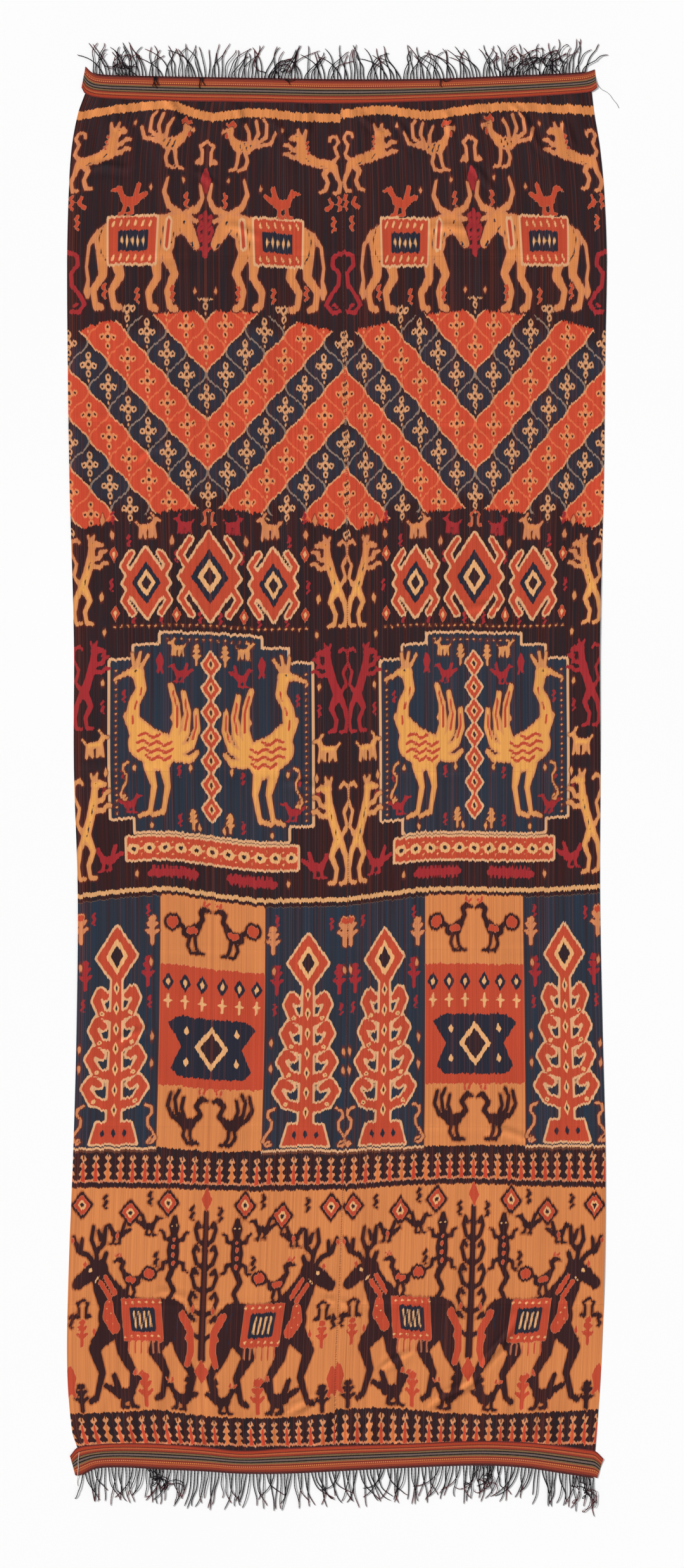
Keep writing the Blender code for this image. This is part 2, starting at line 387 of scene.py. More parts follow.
# How far the pattern stands above its level, at seven places from each width's left edge to its right.
DRIFT = {
    "left": (
        (1372, (-5, 10, 16, -7, 1, -7, -10)),
        (1290, (-2, 6, 8, -4, 0, -4, -6)),
        (950, (-14, -11, -14, -14, -12, -16, -14)),
        (540, (-9, -11, -9, -7, -11, -11, -13)),
        (-240, (-11, 1, 6, -7, -19, -19, -16)),
        (-768, (-2, 0, 0, -8, -7, -2, -6)),
        (-850, (-1, -1, -3, -6, -9, -7, -5)),
        (-1321, (0, 4, 8, -4, -9, -7, 4)),
        (-1374, (0, 1, 2, -1, -2, -2, 1)),
    ),
    "right": (
        (1372, (-3, 7, -4, 7, 13, 10, 5)),
        (1290, (-2, 5, -2, 3, 8, 6, 3)),
        (950, (-14, -16, -13, -11, -14, -12, -14)),
        (540, (-13, -9, -8, -9, -11, -9, -11)),
        (-240, (-16, -4, 5, 5, 3, 5, 11)),
        (-768, (-4, 1, 4, 5, 5, 5, 5)),
        (-850, (-7, 1, 5, 7, 3, 1, -1)),
        (-1321, (10, 13, 7, 0, 0, 5, 9)),
        (-1374, (2, 3, 2, 0, 0, 1, 2)),
    ),
}


def smooth(rows, key, column):
    """The value of a column where the first column is key, on a curve through the rows."""
    ordered = sorted(rows)
    last = len(ordered) - 1
    i = max(0, min(last - 1, sum(row[0] <= key for row in ordered) - 1))
    before, start_row, end_row, after = (ordered[max(0, min(last, i + k))] for k in (-1, 0, 1, 2))
    span = end_row[0] - start_row[0]
    slope_in = (end_row[column] - before[column]) / (end_row[0] - before[0]) * span
    slope_out = (after[column] - start_row[column]) / (after[0] - start_row[0]) * span
    u = max(0.0, min(1.0, (key - start_row[0]) / span))
    return (
        start_row[column] * (2 * u**3 - 3 * u**2 + 1)
        + slope_in * (u**3 - 2 * u**2 + u)
        + end_row[column] * (3 * u**2 - 2 * u**3)
        + slope_out * (u**3 - u**2)
    )


def ridge_height(x, y):
    """How far the underside stands off the board, in metres; x and y in millimetres, numbers or arrays."""
    total = 0.0
    for ridge_x, ridge_y, half_width, half_length, turn, height in RIDGES:
        angle = math.radians(turn)
        across = (x - ridge_x) * math.cos(angle) + (y - ridge_y) * math.sin(angle)
        along = (y - ridge_y) * math.cos(angle) - (x - ridge_x) * math.sin(angle)
        total += height * np.exp(-((across / half_width) ** 2) - (along / half_length) ** 4)
    return np.maximum(0.0, total * MM - FLAT_BELOW)


# Sharp creases, placed one by one: x and y of each end, then half width and height, all in millimetres.
CREASES = (
    (-356, 1396, -318, 1346, 5, 3.2),
    (-214, 1388, -194, 1334, 4.5, 2.6),
    (-140, 1352, -94, 1300, 5, 2.4),
    (-522, 1247, -418, 1259, 6, 2.9),
    (-302, 1247, -244, 1219, 5, 2.2),
    (-470, 1392, -452, 1330, 5, 2.4),
    (36, 1364, 94, 1328, 5, 2.9),
    (112, 1358, 162, 1290, 5, 2.9),
    (218, 1378, 240, 1316, 4.5, 2.4),
    (346, 1394, 440, 1280, 5, 3.8),
    (258, 1268, 332, 1206, 6, 2.6),
    (452, 1364, 496, 1298, 5, 2.7),
    (-70, 1392, -58, 1326, 4.5, 2.4),
    (300, 1392, 306, 1340, 4.5, 2.2),
    (-240, 1130, -150, 1114, 7, 1.8),
    (180, 1120, 300, 1132, 7, 1.9),
    (-420, 640, -330, 700, 7, 1.6),
    (250, 330, 390, 350, 7, 1.8),
    (-120, -20, -10, -34, 7, 1.8),
    (-460, -560, -380, -520, 6, 1.6),
    (300, -742, 420, -752, 6, 1.8),
    (302, -1226, 188, -1312, 4.5, 3.5),
    (368, -1106, 300, -1236, 5, 3.2),
    (-48, -1282, -106, -1324, 4.5, 2.9),
    (88, -1236, 160, -1186, 4.5, 2.1),
    (-382, -1074, -294, -1080, 4.5, 2.1),
    (-44, -1092, 46, -1096, 4.5, 2.2),
    (-330, -1372, -322, -1316, 4.5, 2.2),
    (-186, -1380, -176, -1324, 4.5, 2.4),
    (60, -1376, 66, -1326, 4.5, 2.1),
    (232, -1368, 244, -1316, 4.5, 2.4),
    (430, -1374, 424, -1322, 4.5, 2.2),
)


CLOTH_ENDS = ((1400, 1), (-1385, -1))  # where the bands draw it in, and which way each lies
GATHER_REACH = 95  # how far the small gathers run into the cloth
LOWEST_DIP = 0.7  # millimetres


def creases(x, y):
    """How far the folds and gathers lift the cloth at x and y in millimetres, as metres."""
    total = np.zeros(x.shape)
    for x0, y0, x1, y1, half_width, height in CREASES:
        length = math.hypot(x1 - x0, y1 - y0)
        way_x, way_y = (x1 - x0) / length, (y1 - y0) / length
        along = np.clip(((x - x0) * way_x + (y - y0) * way_y) / length, 0, 1)
        across = (y - y0) * way_x - (x - x0) * way_y - 0.05 * length * np.sin(along * 5.2)
        rise = height * np.sin(math.pi * along)
        total += rise * np.exp(-np.abs(across) / half_width)
        total -= 0.45 * rise * np.exp(-(((across - 1.9 * half_width) / half_width) ** 2))
    for height, sharpness in STORAGE_FOLDS:
        bend = y - height - 5 * np.sin(x / 190 + height)
        total += 1.1 * sharpness * np.exp(-np.abs(bend) / 5) * (0.6 + 0.4 * np.sin(x / 57 + height))
    for end, way in CLOTH_ENDS:
        near_end = np.exp(-np.abs(y - end) / GATHER_REACH)
        total += 0.9 * near_end * np.sin(x / 9.5 + 1.3 * np.sin(x / 61) + way * (y - end) / 42)
        total += 1.1 * near_end * np.sin(x / 19 + way + 1.1 * np.sin(x / 83) + way * (y - end) / 60)
    total += 0.40 * np.sin(x / 38 + y / 130) * np.sin(y / 71 - x / 97)
    total += 0.30 * np.sin(x / 21 - y / 210 + 2) * np.sin(y / 160 + x / 45)
    return np.maximum(total, -LOWEST_DIP) * MM


def panel_grid(side):
    """X and Y in millimetres of each crossing of a width's fine grid, and its place across and along."""
    bottom, top = SIDES[-1][0], SIDES[0][0]
    t = np.linspace(0, 1, ROWS + 1)
    heights = bottom + t * (top - bottom)
    edges = np.array([[smooth(SIDES, height, column) for column in (1, 2, 3)] for height in heights])
    if side == "left":
        low_x, high_x = edges[:, 0], edges[:, 1] - GAP / 2
    else:
        low_x, high_x = edges[:, 1] + GAP / 2, edges[:, 2]
    u = np.linspace(0, 1, COLUMNS + 1)
    x = low_x[:, None] + (high_x - low_x)[:, None] * u
    low_y = np.array([smooth(BOTTOM_BAND, k, 1) + GAP for k in x[0]])
    high_y = np.array([smooth(TOP_BAND, k, 1) - GAP for k in x[-1]])
    y = low_y + (high_y - low_y) * t[:, None]
    return x, y, u, heights


def drift(side, u, level):
    """How far the pattern is drawn up at each crossing, in millimetres."""
    table = sorted(DRIFT[side])
    rows = []
    for _, offsets in table:
        stations = [(k / (len(offsets) - 1), offset) for k, offset in enumerate(offsets)]
        rows.append([smooth(stations, place_across, 1) for place_across in u])
    levels = [height for height, _ in table]
    return np.array([np.interp(level, levels, column) for column in zip(*rows)]).T


# The pattern's motifs. Each faces +X with its feet at Y = 0, in millimetres, and is listed by dye, or as a
# plain list where one dye makes it. A stroke runs x, y, radius, x, y, radius and so on, and an outline is a
# tuple of (x, y) corners.
def dab(x, y, radius):
    """A round spot: a stroke that hardly moves."""
    return (x, y, radius, x + 0.1, y, radius)


ROOSTER = {
    "gold": (
        (-8, 43, 10, 8, 46, 11, 19, 56, 8),
        (19, 56, 7, 27, 70, 5, 27, 80, 5.5),
        (27, 81, 6, 33, 81, 4, 41, 79, 2),
        (-12, 46, 6, -22, 56, 4),
        (-18, 52, 3.4, -26, 72, 3.2, -20, 96, 3),
        (-20, 50, 3.4, -41, 64, 3.2, -41, 90, 3, -34, 99, 2.8),
        (-20, 45, 3.6, -50, 52, 3.2, -58, 72, 3),
        (-9, 52, 3.4, -8, 72, 3.2, 0, 88, 2.8),
        (-2, 34, 4, -7, 18, 3, -2, 3, 3, 9, 1, 3),
        (10, 36, 4, 12, 18, 3, 16, 4, 3, 26, 2, 3),
    ),
    "red": ((19, 88, 3, 24, 96, 3.2, 30, 90, 3, 36, 94, 2.6), (34, 72, 3, 34, 66, 3)),
    "ink": (
        dab(29, 82, 2.2),
        (-14, 44, 1.5, -10, 50, 1.5),
        (-6, 38, 1.5, 0, 52, 1.5),
        (4, 38, 1.5, 10, 52, 1.5),
        (-30, 66, 1.2, -24, 60, 1.2),
    ),
}
HOUND = {
    "gold": (
        (-34, 46, 9, -6, 50, 11, 22, 60, 13),
        (24, 64, 13, 26, 92, 10),
        (27, 100, 11, 42, 103, 7, 48, 100, 4.6),
        (19, 108, 4, 16, 121, 3),
        (31, 110, 4, 33, 121, 3),
        (28, 74, 6, 44, 76, 4.4, 53, 86, 4, 61, 84, 3.4),
        (28, 60, 6, 44, 58, 4.4, 54, 67, 4, 62, 65, 3.4),
        (-34, 44, 8, -20, 26, 5, -28, 8, 4, -22, -10, 3.8, -12, -12, 3.6),
        (-40, 42, 8, -46, 24, 5, -54, 6, 4, -50, -12, 3.8, -40, -14, 3.6),
        (-40, 50, 4, -50, 64, 3.4, -43, 84, 3.2, -52, 98, 3.2, -46, 111, 3.2, -34, 107, 3.2, -33, 98, 3),
    ),
    "ink": (dab(35, 105, 2.2), (-26, 38, 1.4, -14, 44, 1.4), (8, 50, 1.4, 16, 58, 1.4)),
    "red": ((12, 96, 2.6, 16, 91, 2.6), (11, 84, 2.6, 15, 79, 2.6), (9, 72, 2.6, 13, 68, 2.6)),
}
BULL = {
    "gold": (
        (-72, 128, 36, 0, 128, 38, 50, 134, 36),
        (50, 148, 30, 84, 162, 22, 104, 168, 19),
        (104, 170, 18, 122, 150, 14, 136, 128, 10),
        (96, 184, 7, 70, 196, 6.5, 58, 220, 5, 66, 246, 3.4),
        (112, 186, 7, 138, 194, 6.5, 152, 216, 5, 146, 242, 3.4),
        (88, 176, 6, 66, 172, 4),
        (122, 176, 5, 140, 172, 4),
        (64, 108, 15, 86, 72, 9, 68, 38, 7.5, 74, 10, 7, 88, 6, 6.5),
        (40, 102, 14, 44, 64, 9, 22, 36, 7.5, 26, 10, 7, 40, 6, 6.5),
        (-60, 106, 16, -46, 66, 10, -68, 38, 7.5, -62, 10, 7, -48, 6, 6.5),
        (-90, 110, 15, -88, 68, 10, -112, 40, 7.5, -106, 10, 7, -92, 6, 6.5),
        (-100, 148, 6, -122, 124, 4, -128, 84, 3.6, -124, 60, 4, -128, 38, 7, -126, 28, 4),
    ),
    "red": (
        ((-74, 88), (38, 90), (42, 174), (-76, 172)),
        (66, 122, 4, 71, 168, 4),
    ),
    "ink": (
        ((-52, 110), (20, 112), (22, 150), (-52, 148)),
        dab(108, 169, 3.4),
        (132, 122, 2.6, 126, 130, 2.6),
        (56, 98, 1.6, 52, 128, 1.6, 58, 158, 1.6),
        (78, 128, 1.6, 84, 150, 1.6),
        (-88, 160, 1.6, -98, 136, 1.6, -92, 108, 1.6, -80, 92, 1.6),
        (-106, 96, 1.5, -100, 70, 1.5),
        (94, 158, 1.5, 106, 142, 1.5),
    ),
    "spark": tuple(((x, 116), (x + 3.8, 130), (x, 144), (x - 3.8, 130)) for x in range(-43, 10, 13))
    + tuple((x, y, 3.0, x + 4, y + 8, 2.6) for x in (-66, -48, -30, -12, 6, 24) for y in (95, 158)),
}
PEACOCK = {
    "dark": (
        (-6, 40, 10, 8, 44, 11, 16, 54, 8),
        (16, 54, 6, 26, 70, 4.5, 22, 84, 5, 30, 90, 6),
        (34, 90, 4, 42, 86, 2.5),
        (-8, 46, 5, -20, 56, 4),
        (0, 32, 3.6, -4, 16, 3.2, 2, 2, 3.2, 12, 1, 3),
        (10, 34, 3.6, 12, 16, 3.2, 18, 3, 3.2, 28, 2, 3),
        dab(-34, 58, 17),
    ),
    "red": (
        dab(-34, 58, 11.5),
        (0, 44, 6.5, 10, 46, 6.5),
        (28, 98, 2.6, 30, 106, 2.6),
        (34, 97, 2.6, 40, 103, 2.6),
    ),
}
LONG_BIRD = {
    "dark": (
        (-8, 34, 9, 8, 36, 9),
        (12, 38, 6, 26, 50, 4.4, 16, 66, 4.4, 28, 78, 5.5),
        (30, 79, 4, 39, 75, 2.5),
        (-12, 36, 5, -30, 44, 4, -40, 62, 3.6, -34, 84, 3.4),
        (-10, 40, 5, -22, 52, 3.6, -26, 74, 3.4, -18, 88, 3.2),
        (-6, 44, 4, -12, 60, 3.4, -8, 78, 3.2),
        (-4, 28, 3.4, -8, 14, 3.2, 0, 2, 3.2, 10, 0, 3),
        (6, 28, 3.4, 6, 14, 3.2, 12, 2, 3.2, 22, 1, 3),
    ),
    "red": ((22, 86, 2.6, 22, 94, 2.6), (30, 87, 2.6, 34, 95, 2.6)),
}
GOAT = (
    (-14, 30, 7, 10, 32, 7),
    (10, 34, 6, 17, 48, 5),
    (17, 50, 5, 27, 47, 3.6),
    (15, 54, 3, 8, 64, 2.6),
    (-16, 27, 4.4, -19, 3, 3.2),
    (-9, 26, 4.4, -6, 3, 3.2),
    (6, 27, 4.4, 5, 3, 3.2),
    (13, 28, 4.4, 17, 3, 3.2),
    (-20, 34, 3, -28, 44, 2.8),
)
CLIMBER = {
    "gold": (
        (-10, 66, 8, -2, 88, 7.5, 5, 110, 8),
        (6, 112, 7, 8, 130, 6),
        (9, 137, 7.5, 20, 138, 5, 28, 136, 3.2),
        (5, 144, 2.8, 2, 152, 2.4),
        (11, 145, 2.8, 13, 153, 2.4),
        (9, 112, 4, 22, 114, 3.4, 27, 124, 3.2, 35, 126, 3),
        (8, 100, 4, 22, 98, 3.4, 29, 106, 3.2, 37, 105, 3),
        (-8, 62, 7, 2, 42, 4.8, -8, 22, 3.8, -5, 4, 3.4, 6, 2, 3.2),
        (-14, 64, 6, -24, 44, 4.6, -28, 22, 3.6, -25, 4, 3.2, -15, 2, 3),
        (-16, 68, 3.4, -27, 84, 3, -21, 104, 2.8, -31, 122, 2.8, -30, 140, 2.8, -20, 146, 2.8, -14, 139, 2.6),
    ),
    "ink": (dab(11, 139, 1.8), (-9, 64, 1.3, -3, 84, 1.3), (0, 92, 1.3, 5, 108, 1.3)),
}
CRANE = {
    "gold": (
        (-46, 134, 20, -8, 130, 38, 26, 148, 33),
        (26, 160, 27, 50, 192, 16, 46, 226, 12.5, 30, 252, 11.5, 36, 280, 12.5),
        (36, 284, 13, 48, 286, 10),
        (56, 286, 6, 90, 273, 2.4),
        (30, 296, 4, 14, 318, 3.4),
        (38, 298, 4, 32, 324, 3.4),
        (46, 297, 4, 50, 322, 3.4),
        (-40, 146, 13, -50, 182, 10, -47, 224, 8, -35, 258, 6),
        (-46, 140, 12, -68, 168, 9.5, -73, 206, 8, -64, 244, 6),
        (-48, 130, 12, -80, 144, 9, -94, 176, 7.5, -92, 212, 5.5),
        (-48, 120, 11, -78, 116, 7.5, -94, 130, 5),
        (14, 104, 12, 2, 62, 6.5, 12, 12, 5, 36, 5, 4.4),
        (-20, 104, 12, -28, 62, 6.5, -18, 12, 5, 6, 5, 4.4),
    ),
    "red": (
        (-36, 120, 3, -22, 112, 3, -8, 120, 3, 6, 112, 3, 20, 122, 3),
        (-40, 134, 3, -24, 126, 3, -8, 134, 3, 8, 127, 3, 24, 137, 3, 38, 132, 3),
        (-38, 148, 3, -22, 140, 3, -6, 149, 3, 10, 142, 3, 26, 152, 3, 40, 148, 3),
        (-12, 162, 3, 4, 156, 3, 20, 166, 3, 36, 162, 3),
        (-50, 178, 2.8, -50, 214, 2.8, -40, 246, 2.6),
        (-67, 172, 2.8, -73, 202, 2.8, -67, 232, 2.6),
        (-84, 156, 2.6, -92, 180, 2.6, -91, 204, 2.4),
        (48, 186, 2.6, 50, 202, 2.6),
        (44, 214, 2.6, 40, 228, 2.6),
        (32, 240, 2.4, 30, 254, 2.4),
    ),
    "ink": (dab(42, 288, 3.2),),
}
CHEST_SPOTS = ((50, 160), (64, 168), (56, 182), (66, 192), (60, 204))
DEER = {
    "dark": (
        (-84, 168, 44, -20, 170, 40, 42, 176, 44),
        (46, 196, 38, 74, 236, 26, 86, 264, 20),
        (86, 270, 20, 110, 262, 17, 138, 242, 12),
        (80, 282, 6, 72, 302, 5),
        (60, 152, 25, 94, 112, 13, 76, 62, 8, 92, 14, 6, 106, 6, 6),
        (30, 148, 22, 28, 104, 12, 2, 64, 8, 8, 16, 6, 22, 8, 6),
        (-74, 150, 28, -48, 106, 14, -76, 62, 8, -66, 16, 6, -52, 8, 6),
        (-102, 154, 26, -112, 104, 13, -140, 62, 8, -128, 14, 6, -114, 6, 6),
        (92, 284, 5, 96, 306, 5, 78, 322, 5, 76, 352, 4.5),
        (96, 306, 5, 108, 330, 4.5, 104, 356, 4),
        (100, 282, 5, 116, 300, 5, 138, 308, 5, 150, 336, 4.5),
        (132, 306, 4.5, 130, 332, 4.5),
        (86, 330, 4.5, 92, 348, 4),
    ),
    "red": (
        (-112, 182, 9, -132, 150, 8, -134, 110, 8, -126, 84, 7),
        (60, 214, 5, 84, 244, 5),
        (48, 222, 5, 72, 256, 5),
        ((-70, 124), (24, 126), (34, 212), (-60, 210)),
        (46, 152, 12, 62, 176, 14, 62, 200, 10),
    )
    + tuple((x, 122, 2.2, x - 1, 100, 2.2) for x in (-58, -44, -30, -16, -2, 12)),
    "ink": (
        ((-52, 142), (6, 144), (14, 194), (-46, 192)),
        (-86, 196, 1.6, -102, 168, 1.6, -96, 130, 1.6),
    ),
    "spark": (dab(108, 268, 4.5), (88, 256, 2, 96, 246, 2))
    + tuple((x, 152, 2.6, x + 7, 184, 2.6) for x in (-40, -28, -16, -4))
    + tuple((x, y, 2.4, x + 4, y + 2, 2.4) for x in range(-60, 21, 16) for y in (133, 202))
    + tuple((x, y, 1.8, x + 3, y + 1, 1.8) for x, y in CHEST_SPOTS),
}
LIZARD = {
    "dark": (
        (0, 54, 9, 1, 84, 12, 0, 110, 9),
        (0, 116, 6, 0, 134, 10, 0, 154, 4),
        (0, 48, 6, 9, 26, 5, -3, 2, 4.2, 8, -20, 3.8, -2, -40, 3.4, 8, -54, 3),
        (-6, 106, 4, -18, 108, 3.4, -20, 120, 3, -27, 124, 2.6),
        (6, 106, 4, 18, 108, 3.4, 20, 120, 3, 27, 124, 2.6),
        (-6, 62, 4.4, -19, 60, 3.6, -20, 46, 3, -28, 42, 2.6),
        (6, 62, 4.4, 19, 60, 3.6, 20, 46, 3, 28, 42, 2.6),
    ),
    "spark": (dab(-5, 136, 2.4), dab(5, 136, 2.4)),
    "red": (
        (0, 56, 3.4, 0, 60, 3.4),
        (1, 73, 3.4, 1, 77, 3.4),
        (1, 90, 3.4, 1, 94, 3.4),
        (0, 106, 3, 0, 108, 3),
    ),
}
SMALL_BIRD = (
    (-8, 20, 7, 6, 22, 7),
    (8, 25, 4.6, 15, 37, 3.8, 16, 41, 4.4),
    (18, 41, 3.4, 27, 38, 2),
    (-10, 22, 5, -26, 32, 3.6),
    (-9, 26, 4, -15, 46, 3.4),
    (-4, 14, 3, -6, 2, 2.6, 2, 1, 2.4),
    (6, 15, 3, 8, 2, 2.6, 15, 1, 2.4),
)
FISH = ((0, 30, 9, 0, 48, 13, 0, 62, 9, 0, 74, 4), (-3, 22, 5, -9, 6, 3.6), (3, 22, 5, 9, 6, 3.6))
WORM = ((-3, -15, 2.8, 4, -8, 2.8, -4, 0, 3, 4, 8, 3, -2, 15, 3.6),)
OMEGA = ((-15, 6, 3.2, -20, 0, 3.2, -9, 0, 3.2, -9, 26, 3.2, -14, 36, 3.2, 0, 46, 3.4),)
SNAKE = (
    (0, 132, 5, -20, 124, 4.4, -22, 104, 4.2, -8, 88, 4.2, -10, 62, 4.2, -24, 44, 4.2),
    (-24, 44, 4.2, -36, 22, 4.2, -22, 4, 4.2, -8, 8, 4.4),
    (-14, 18, 3.6, -20, 22, 3.6),
)
SPRIG = (
    (0, 0, 2.8, 0, 34, 2.8),
    (0, 14, 2.6, -8, 22, 2.6),
    (0, 14, 2.6, 8, 22, 2.6),
    (0, 26, 2.6, -6, 34, 2.6),
    (0, 26, 2.6, 6, 34, 2.6),
    dab(0, 42, 5.5),
)
DOT = (dab(0, 0, 1),)


def lozenge(half_width, half_height):
    return (((0, -half_height), (half_width, 0), (0, half_height), (-half_width, 0)),)


def block(half_width, low, high):
    return (((-half_width, low), (half_width, low), (half_width, high), (-half_width, high)),)


def hooked_tree(height, reach, tiers, thick):
    """Half of a tree: its stem, and the right-hand branches, which turn up and curl in."""
    strokes = [(0, 0, thick * 1.5, 0, height * 0.92, thick)]
    for i in range(tiers):
        y = height * (0.12 + 0.74 * i / tiers)
        out = reach * (1 - 0.42 * i / tiers)
        rise = height * 0.5 / tiers
        bend = (out * 0.7, y + rise * 0.3, thick * 0.85, out, y + rise, thick * 0.8)
        curl = (out * 0.8, y + rise * 1.45, thick * 0.75, out * 0.55, y + rise * 1.15, thick * 0.8)
        strokes.append((0, y, thick, *bend, *curl))
    return strokes


def stroke_field(x, y, stroke):
    """Distance in millimetres to a run of tapered strokes, below zero inside it."""
    points = [stroke[i : i + 3] for i in range(0, len(stroke), 3)]
    field = np.full(x.shape, FAR)
    for (x0, y0, r0), (x1, y1, r1) in zip(points, points[1:]):
        run_x, run_y = x1 - x0, y1 - y0
        share = np.clip(((x - x0) * run_x + (y - y0) * run_y) / (run_x**2 + run_y**2), 0, 1)
        away = np.hypot(x - x0 - share * run_x, y - y0 - share * run_y)
        field = np.minimum(field, away - r0 - (r1 - r0) * share)
    return field


def outline_field(x, y, corners):
    """Distance in millimetres to a closed outline through corners, below zero inside it."""
    field = np.full(x.shape, np.inf)
    inside = np.zeros(x.shape, bool)
    for (x0, y0), (x1, y1) in zip(corners, corners[1:] + corners[:1]):
        run_x, run_y = x1 - x0, y1 - y0
        share = np.clip(((x - x0) * run_x + (y - y0) * run_y) / (run_x**2 + run_y**2), 0, 1)
        field = np.minimum(field, np.hypot(x - x0 - share * run_x, y - y0 - share * run_y))
        if y0 != y1:
            inside ^= ((y0 > y) != (y1 > y)) & (x < run_x * (y - y0) / run_y + x0)
    return np.where(inside, -field, field)


class DyedWarp:
    """One loom width's crossings, and the distance from each to the nearest edge of every dye. The warp was
    folded down its middle when it was tied, so both halves of a width have the same pattern, mirrored."""

    DYES = ("navy", "sand", "crimson", "gold", "dark", "red", "ink", "spark", "heart")

    def __init__(self, x, y):
        self.x = np.abs(x)
        self.y = y
        self.field = {dye: np.full(x.shape, FAR) for dye in self.DYES}
        self.rim = {dye: np.zeros(x.shape) for dye in self.DYES}

    def lay(self, dye, shape, at=(0, 0), size=1.0, flip=1, rim=0.0, both=False):
        """Dyes one shape at a place of the half pattern; both adds its mirror image there."""
        outline = isinstance(shape[0], tuple)
        corners = shape if outline else [shape[i : i + 2] for i in range(0, len(shape), 3)]
        fat = 0 if outline else max(shape[2::3])
        size_x, size_y = size if isinstance(size, tuple) else (size, size)
        width = (max(abs(c[0]) for c in corners) + fat) * size_x + FAR / 2
        low = (min(c[1] for c in corners) - fat) * size_y - FAR / 2
        high = (max(c[1] for c in corners) + fat) * size_y + FAR / 2
        x, y = self.x - at[0], self.y - at[1]
        near = np.nonzero((np.abs(x) < width) & (y > low) & (y < high))
        x, y = x[near] * flip / size_x, y[near] / size_y
        measure = outline_field if outline else stroke_field
        for side_x in (x, -x) if both else (x,):
            found = measure(side_x, y, shape) * min(size_x, size_y)
            closer = found < self.field[dye][near]
            spots = tuple(axis[closer] for axis in near)
            self.field[dye][spots] = found[closer]
            self.rim[dye][spots] = rim


def build_width(side):
    """X and Y of a width's crossings, and the same crossings in the pattern, all in millimetres."""
    x, y, u, level = panel_grid(side)
    across = (2 * u - 1) * PATTERN_HALF
    pattern_x = np.broadcast_to(across, x.shape)
    pattern_y = y - drift(side, u, level)
    return x, y, pattern_x, pattern_y


grids = {side: build_width(side) for side in ("left", "right")}
warps = {side: DyedWarp(grid[2], grid[3]) for side, grid in grids.items()}


def dye(name, shapes, x=0, y=0, **how):
    """Dyes a list of shapes at one place of the pattern, on both loom widths."""
    for shape in shapes:
        for warp in warps.values():
            warp.lay(name, shape, at=(x, y), **how)


def scatter(name, shapes, spots, size=1.0):
    """Dyes a small filler at each of several places."""
    for x, y in spots:
        dye(name, shapes, x, y, size=size)


def motif(shapes_by_dye, x, y, size=1.0, flip=1, rims=()):
    """Dyes a figure in its dyes; rims gives a dye's pale edge its width, and a flip of -1 turns it."""
    for name, shapes in shapes_by_dye.items():
        dye(name, shapes, x, y, size=size, flip=flip, rim=dict(rims).get(name, 0.0))


def jewel(x, y, sizes, rims=()):
    """Dyes lozenges inside one another; sizes gives each dye's half width and half height."""
    motif({name: lozenge(*half) for name, half in sizes.items()}, x, y, rims=rims)


def eyelet(x, y, outer, inner):
    """Dyes a pale ring round a dark middle."""
    dye("spark", DOT, x, y, size=outer)
    dye("heart", DOT, x, y, size=inner)


# The first field. Gold animals and birds on the dark ground, dyed by tying off the threads that stay pale:
# saddled bulls face each other, with hounds, roosters and small red fillers above and between them.
motif(BULL, 128, 973, size=(0.80, 1.06), flip=-1, rims={"red": 4})
motif(HOUND, 213, 1227, size=0.96, flip=-1)
motif(ROOSTER, 74, 1254, size=1.06, flip=-1)
dye("red", SMALL_BIRD, 150, 1162, size=1.25)
dye("red", ((0, 0, 4, 12, 10, 3.4, 6, 22, 3),), 236, 1180)
dye("gold", OMEGA, 0, 1272, both=True)
dye("crimson", SNAKE, 268, 968, size=0.95)
dye("crimson", hooked_tree(96, 17, 3, 3.6), 0, 1086, both=True)
dye("crimson", FISH, 0, 1200, size=0.8)
spots = ((250, 1150), (132, 1004), (196, 1012), (262, 1192), (64, 1010), (38, 1196))
scatter("red", WORM, spots, size=0.9)
scatter("gold", lozenge(3.6, 8), ((108, 1216), (44, 1236), (20, 1016), (150, 1340), (30, 1338)))

# The centre field. A stepped navy ground, dyed with indigo alone, holds two cranes back to back and a chain
# of lozenges. Three hooked medallions stand above it, and lean beasts climb its sides.
NAVY_GROUND = (
    (0, 300),
    (98, 300),
    (98, 276),
    (150, 276),
    (150, 246),
    (197, 246),
    (197, -84),
    (150, -84),
    (150, -116),
    (0, -116),
)
dye("navy", (NAVY_GROUND + tuple((-x, y) for x, y in NAVY_GROUND[-2:0:-1]),), rim=5.5)
MEDALLION = {"red": 1.0, "ink": 0.62, "spark": 0.4, "heart": 0.22}  # each dye's share of its size
for x, y, wide, high in ((0, 420, 60, 92), (124, 408, 46, 74)):
    jewel(x, y, {name: (wide * part, high * part) for name, part in MEDALLION.items()}, {"red": 5})
    for turn in (1, -1):
        hook = (wide * 0.5, 0, 5, wide * 0.95, turn * high * 0.5, 4.4, wide * 0.6, turn * high * 0.86, 4.2)
        dye("red", (hook,), x, y, rim=4, both=True)
scatter("gold", lozenge(5, 13), ((72, 494), (188, 510), (212, 470), (212, 380), (206, 540)))
motif(CRANE, 110, -88, size=(0.88, 1.08))
for k in range(7):
    jewel(0, -62 + k * 50, {"red": (17, 25), "spark": (8, 13), "heart": (4, 7)}, {"red": 4})
dye("red", block(168, -174, -128), rim=5)
for i in range(6):
    eyelet(i * 31, -151, 11, 4.6)
    scatter("spark", DOT, [(i * 31 + 15.5, y) for y in (-164, -151, -138)], size=2.6)
scatter("gold", SPRIG, ((28, 236), (36, -108)), size=0.9)
dye("crimson", FISH, 100, 214, size=0.6)
scatter("crimson", WORM, ((172, 8), (62, -92), (170, 170), (150, 90), (88, 70), (62, 10)), size=0.8)
scatter("gold", lozenge(4, 10), ((118, -104), (76, 124), (24, -104), (168, 128), (40, 20), (150, 20)))
scatter("gold", DOT, [(186, -74 + k * 13) for k in range(24)], size=2.6)
